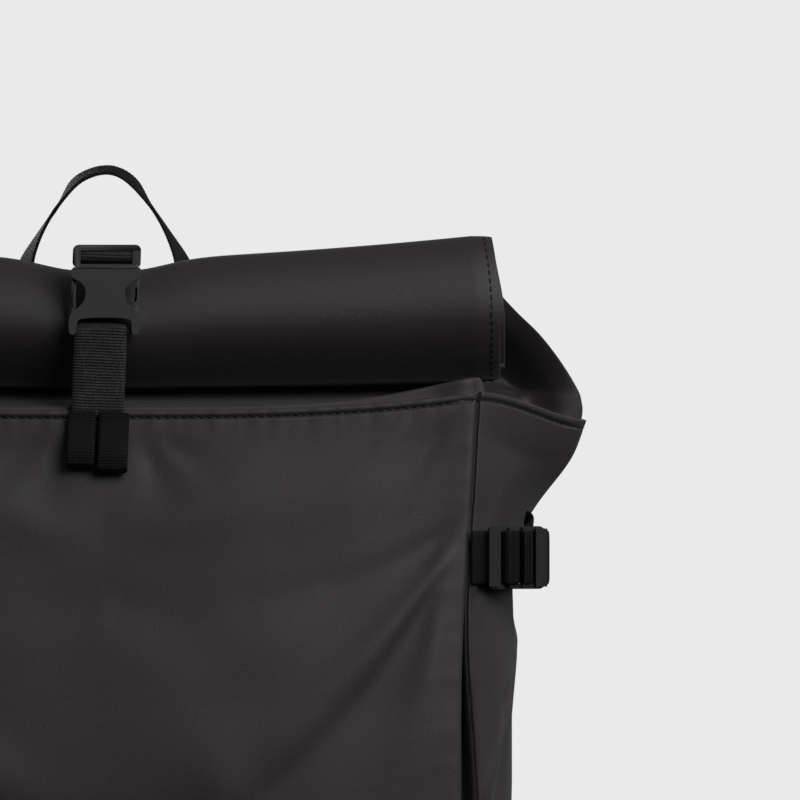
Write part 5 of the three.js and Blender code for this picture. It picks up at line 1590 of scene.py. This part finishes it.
def handle_points():
    """Half the arch from the foot up, the apex, and the mirrored half."""
    foot = BODY_HEIGHT - HANDLE_FOOT
    top_y = back_face(BODY_HEIGHT)
    half = [(HANDLE_SPAN / 2, back_face(foot), foot),
            (HANDLE_SPAN / 2, back_face(BODY_HEIGHT - 6), BODY_HEIGHT - 6)]
    half += [(x, top_y, z) for x, z in HANDLE_ARCH]
    apex = [(0.0, top_y - 1, HANDLE_TOP - WEB_THICK / 2 + 0.3)]
    left = [(-x - HANDLE_LEAN * float(smooth(z, 391, 440)), y, z) for x, y, z in half[::-1]]
    return np.array(half + apex + left)


def handle_directions(points):
    """Across the strap: sideways in the back panel's plane low down, and front to back at the arch."""
    along = unit(np.gradient(points, axis=0))
    flat = unit(np.cross(Y_AXIS, along))
    z = points[:, 2]
    turn = smooth(z, BODY_HEIGHT - 2, BODY_HEIGHT + 80) * math.pi / 2
    turn = turn - HANDLE_TILT * smooth(z, BODY_HEIGHT + 78, HANDLE_TOP - 4)
    return flat * np.cos(turn)[:, None] + Y_AXIS * np.sin(turn)[:, None]


handle_path = even_path(handle_points(), 4.0)[0]
# The handle has the closure strap's webbing with painted shade.
webbing("handle", handle_path, handle_directions(handle_path), "grab_handle", smooth_steps=6, rib=0.14,
        material=SHADED_WEBBING)

# %% [markdown]
# ## Shoulder straps
# The padded straps are foam between two layers of cloth, bound with tape all round.

# %% The pads' path
PAD_WIDTH, PAD_THICK, PAD_EDGE, PAD_LENGTH = 58.0, 9.0, 0.45, 216.0
PAD_STAND_OFF, PAD_SPACING, PAD_SPLAY = 34.0, 88.0, 34.0
PAD_TOP = BODY_HEIGHT - HANDLE_FOOT - 5.0
PAD_BOTTOM = PAD_TOP - PAD_LENGTH
PAD_ROWS, PAD_AROUND = 150, 56


def pad_back(z):
    """Where the pad's middle lies against the back panel at a height."""
    return float(back_point(np.array(0.0), np.array(z / BODY_HEIGHT))[1]) + WEB_GAP + PAD_EDGE * PAD_THICK / 2


def pad_line():
    """The pad's middle line, sewn at the top and bowed off the back."""
    top, low = PAD_SPACING / 2, PAD_SPACING / 2 + PAD_SPLAY / 2
    near = pad_back(PAD_TOP)
    return np.array([
        (top, near, PAD_TOP), (top + 1, near + PAD_STAND_OFF * 0.35, PAD_TOP - PAD_LENGTH * 0.1),
        (top + PAD_SPLAY * 0.08, near + PAD_STAND_OFF * 0.9, PAD_TOP - PAD_LENGTH * 0.38),
        (top + PAD_SPLAY * 0.3, near + PAD_STAND_OFF, PAD_TOP - PAD_LENGTH * 0.66),
        (low, pad_back(PAD_BOTTOM) + PAD_STAND_OFF * 0.72, PAD_BOTTOM)])


def pad_frame():
    """Even places along the pad, the direction out of its face, half widths and end shares."""
    path, at = even_path(pad_line(), PAD_LENGTH / PAD_ROWS)
    along = unit(np.gradient(path, axis=0))
    out = unit(np.cross(along, X_AXIS))
    part = at / at[-1]
    half = PAD_WIDTH / 2 * mixed(1, 0.62, smooth(part, 0.55, 1))
    ends = PAD_EDGE + (1 - PAD_EDGE) * smooth(np.minimum(part, 1 - part), 0, 0.09)
    return path, out, part, half, ends


print("pads from z =", PAD_BOTTOM, "to", PAD_TOP, "mm")


def pad_grid():
    """Rings across the pad: the thickness is one minus a power of the place across, to the power 0.42, and
    two rows of quilting press channels along it."""
    path, out, part, half, ends = pad_frame()
    angle = 2 * math.pi * np.arange(PAD_AROUND) / PAD_AROUND
    across = np.cos(angle)[None, :]
    crown = (1 - np.abs(across) ** 3.2) ** 0.42 * np.sign(np.sin(angle) + 1e-9)[None, :]
    channel = sum(np.exp(-(((across - side) * half[:, None] / 1.3) ** 2)) for side in (-0.62, 0.62))
    crown = crown * (1 - 0.26 * channel * smooth(np.minimum(part, 1 - part), 0.02, 0.06)[:, None])
    thick = PAD_THICK / 2 * ends[:, None] * crown
    return (path[:, None] + X_AXIS * (across * half[:, None])[..., None] + out[:, None] * thick[..., None])


pad_piece = make_piece("pad_right", *turned_out(closed_rings(pad_grid())), material=PAD_MESH, slot="padding")
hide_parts("shoulder_pad_right")
pad_left = mirror_piece(pad_piece, "pad_left", "shoulder_pad_left")
print("pad triangles:", 2 * len(pad_piece.data.polygons))

# %% The tape round the pads


def tube(path, radius_wide, radius_thick, wide, around=12):
    """Rings of an ellipse along a closed path, its long axis along wide."""
    along = unit(np.roll(path, -1, 0) - np.roll(path, 1, 0))
    face = unit(np.cross(along, wide))
    angle = 2 * math.pi * np.arange(around) / around
    ring = (wide[:, None] * (np.cos(angle) * radius_wide)[None, :, None]
            + face[:, None] * (np.sin(angle) * radius_thick)[None, :, None])
    return path[:, None] + ring


def closed_tube(grid):
    """Points, faces and UVs of rings along a closed path."""
    rows, around = grid.shape[:2]
    uv = np.stack([arc_lengths(grid, 1), arc_lengths(grid, 0)], axis=-1).reshape(-1, 2) * MM
    return grid.reshape(-1, 3), quads(rows, around, closed_rows=True, closed_columns=True), uv


def pad_tape():
    """The binding: an ellipse carried down one edge of the pad, across its end, up the other edge and
    back across the top."""
    path, out, part, half, ends = pad_frame()
    right = path + X_AXIS * (half[:, None] - 0.4)
    left = path - X_AXIS * (half[:, None] - 0.4)
    sweep = np.linspace(1, -1, 26)[1:-1, None]
    bottom = path[-1] + X_AXIS * half[-1] * sweep
    top = path[0] - X_AXIS * half[0] * sweep
    loop = np.concatenate([right, bottom, left[::-1], top])
    facing = np.concatenate([out, np.repeat(out[-1:], 24, 0), out[::-1], np.repeat(out[:1], 24, 0)])
    return tube(loop, 2.3, 2.0, facing)


tape = make_piece("pad_tape_right", *turned_out(closed_tube(pad_tape())), material=BINDING, slot="webbing")
mirror_piece(tape, "pad_tape_left")
print("tape triangles:", 2 * len(tape.data.polygons))

# %% Lower webbing
FOOT_HEIGHT, FOOT_SPACING = 30.0, 226.0


def shoulder_web_line():
    """From the pad's lower end to the base corner of the back."""
    end = pad_line()[-1]
    foot_x, foot_y = FOOT_SPACING / 2, back_face(FOOT_HEIGHT) - 0.4
    return np.array([
        (end[0] + 0.3, end[1] - 0.2, end[2] + 4), (end[0] + 0.5, end[1] - 0.4, end[2] - 2.7),
        (end[0] + 6, end[1] - 4, end[2] - 26),
        (mixed(end[0], foot_x, 0.6), mixed(end[1], foot_y, 0.62), mixed(end[2], FOOT_HEIGHT, 0.62)),
        (foot_x, foot_y + 1.4, FOOT_HEIGHT + 14), (foot_x + 2, foot_y, FOOT_HEIGHT)])


lower_web = webbing("shoulder_webbing_right", shoulder_web_line(), X_AXIS, "shoulder_web_right")
mirror_piece(lower_web, "shoulder_webbing_left", "shoulder_web_left")

# %% [markdown]
# ## Stitches
# Topstitching is a row of short threads that dip into the cloth. Each is a tiny capsule of a few faces,
# and a whole row is one mesh: the capsule's points times every stitch's own axes, in one array product.
# The same capsules, laid in a tight zigzag, are the bartacks that hold the strap above the two loops.

# %% Threads
STITCH_PITCH, STITCH_LENGTH, STITCH_RADIUS = 3.3, 2.4, 0.34
BARTACK_RADIUS = 0.24


def capsule():
    """Points and faces of a capsule along x: three rings of six points between two tips."""
    stations = np.array([-0.5, -0.38, 0.0, 0.38, 0.5])
    radii = np.array([0.0, 0.8, 1.0, 0.8, 0.0])
    angle = 2 * math.pi * np.arange(6) / 6
    ring = np.stack([0 * angle, np.cos(angle), np.sin(angle)], axis=-1)
    points = ring[None] * radii[:, None, None]
    points[..., 0] += stations[:, None]
    body = points[1:-1].reshape(-1, 3)
    ends = np.array([[-0.5, 0, 0], [0.5, 0, 0]])
    faces = quads(3, 6, closed_columns=True)
    around = np.arange(6)
    after = (around + 1) % 6
    tip = np.full(6, 18)
    start = np.stack([tip, after, around, tip], axis=-1)
    close = np.stack([tip + 1, 12 + around, 12 + after, tip + 1], axis=-1)
    return np.concatenate([body, ends]), np.concatenate([faces, start, close])


def threads(centre, along, up, length, radius, sink=0.05):
    """A capsule at every centre, its axes along, across and up."""
    side = np.cross(up, along)
    body, faces = capsule()
    length = np.broadcast_to(length, len(centre))
    points = (centre[:, None] + up[:, None] * (radius * 0.6 - sink)
              + along[:, None] * (body[None, :, 0] * length[:, None])[..., None]
              + side[:, None] * (body[:, 1] * radius)[None, :, None]
              + up[:, None] * (body[:, 2] * radius * 0.75)[None, :, None])
    every = (np.arange(len(centre)) * len(body))[:, None, None] + faces[None]
    return points.reshape(-1, 3), every.reshape(-1, 4), np.zeros((len(centre) * len(body), 2))


print("faces of one stitch:", len(capsule()[1]))

# %% Rows and zigzags


def stitch_row(path, normals):
    """One thread a pitch along the path, lying on it."""
    at = arc_lengths(path, 0)
    places = np.arange(STITCH_PITCH / 2, at[-1], STITCH_PITCH)

    def sampled(values):
        return np.stack([np.interp(places, at, values[:, i]) for i in range(3)], axis=-1)

    centre, up = sampled(path), unit(sampled(normals))
    return threads(centre, unit(sampled(np.gradient(path, axis=0))), up, STITCH_LENGTH, STITCH_RADIUS)


def zigzag(start, end, low, high, depth, legs):
    """A bartack: legs threads that go up and down between two heights at one depth."""
    x = np.linspace(start, end, legs + 1)
    z = np.where(np.arange(legs + 1) % 2, high, low)
    corners = np.stack([x, np.full(legs + 1, depth), z], axis=-1)
    steps = np.diff(corners, axis=0)
    lengths = np.linalg.norm(steps, axis=-1)
    up = np.broadcast_to(-Y_AXIS, steps.shape)
    return threads(leaning(corners[:-1] + steps / 2) + LOWER_SHIFT, unit(steps), up, lengths, BARTACK_RADIUS)


def hem_path(outer, normals_of):
    """The row of a panel's outer grid that lies the topstitch's drop below its hem."""
    drop = arc_lengths(outer[::-1], 0)[:, outer.shape[1] // 2]
    row = len(outer) - 1 - int(np.abs(drop - HEM_STITCH_DROP).argmin())
    return outer[row], normals_of[row]


print("a hem stitch every", STITCH_PITCH, "mm, a bartack's threads", BARTACK_RADIUS, "mm in radius")

# %% Hem stitches and bartacks
hem_rows = []
for grid in (front_outer, gusset_outer, back_outer):
    hem_rows.append(stitch_row(*hem_path(grid, grid_normals(grid))))
mirrored_hem = hem_path(gusset_outer, grid_normals(gusset_outer))
hem_rows.append(stitch_row(mirrored_hem[0] * (-1, 1, 1), mirrored_hem[1] * (-1, 1, 1)))
make_piece("hem_stitches", *joined(hem_rows), material=THREAD)

tack_face = hem_face - OFF - 0.3 - WEB_THICK / 2
tacks = [zigzag(x0, x1, 371.4, 373.9, tack_face, 16) for x0, x1 in ((-9.6, -0.9), (0.9, 9.6))]
make_piece("bartacks", *joined(tacks), material=THREAD)
print("hem rows:", len(hem_rows), "bartacks:", len(tacks))

# %% The seam at the roll's ends
END_INSET = 3.1
end_angles = np.linspace(ROLL_START + 1.5, ROLL_START + 2 * math.pi * 0.92, 220)


def roll_end_path(side):
    """Along the outer turn of the roll, END_INSET in from its end."""
    y, z = roll_line(end_angles)
    ny, nz = roll_normal(end_angles)
    x = side * (ROLL_LENGTH / 2 + roll_end(z, end_angles) - END_INSET)
    outer = (fine_layer >= 0) & (np.roll(fine_share, 1) >= fine_share) & (fine_share > 0)
    rising = np.argsort(fine_share[outer])
    lift = np.interp(1 - END_INSET * 2 / ROLL_LENGTH, fine_share[outer][rising], fine_layer[outer][rising])
    thick = lift * BAND / 2
    path = np.stack([x, y + ny * thick, pressed(x, z + nz * thick)], axis=-1)
    return path, np.stack([0 * ny, ny, nz], axis=-1)


make_piece("roll_end_stitches", *joined([stitch_row(*roll_end_path(s)) for s in (-1, 1)]), material=THREAD)
print("end seams:", round(float(arc_lengths(roll_end_path(1)[0], 0)[-1])), "mm long")
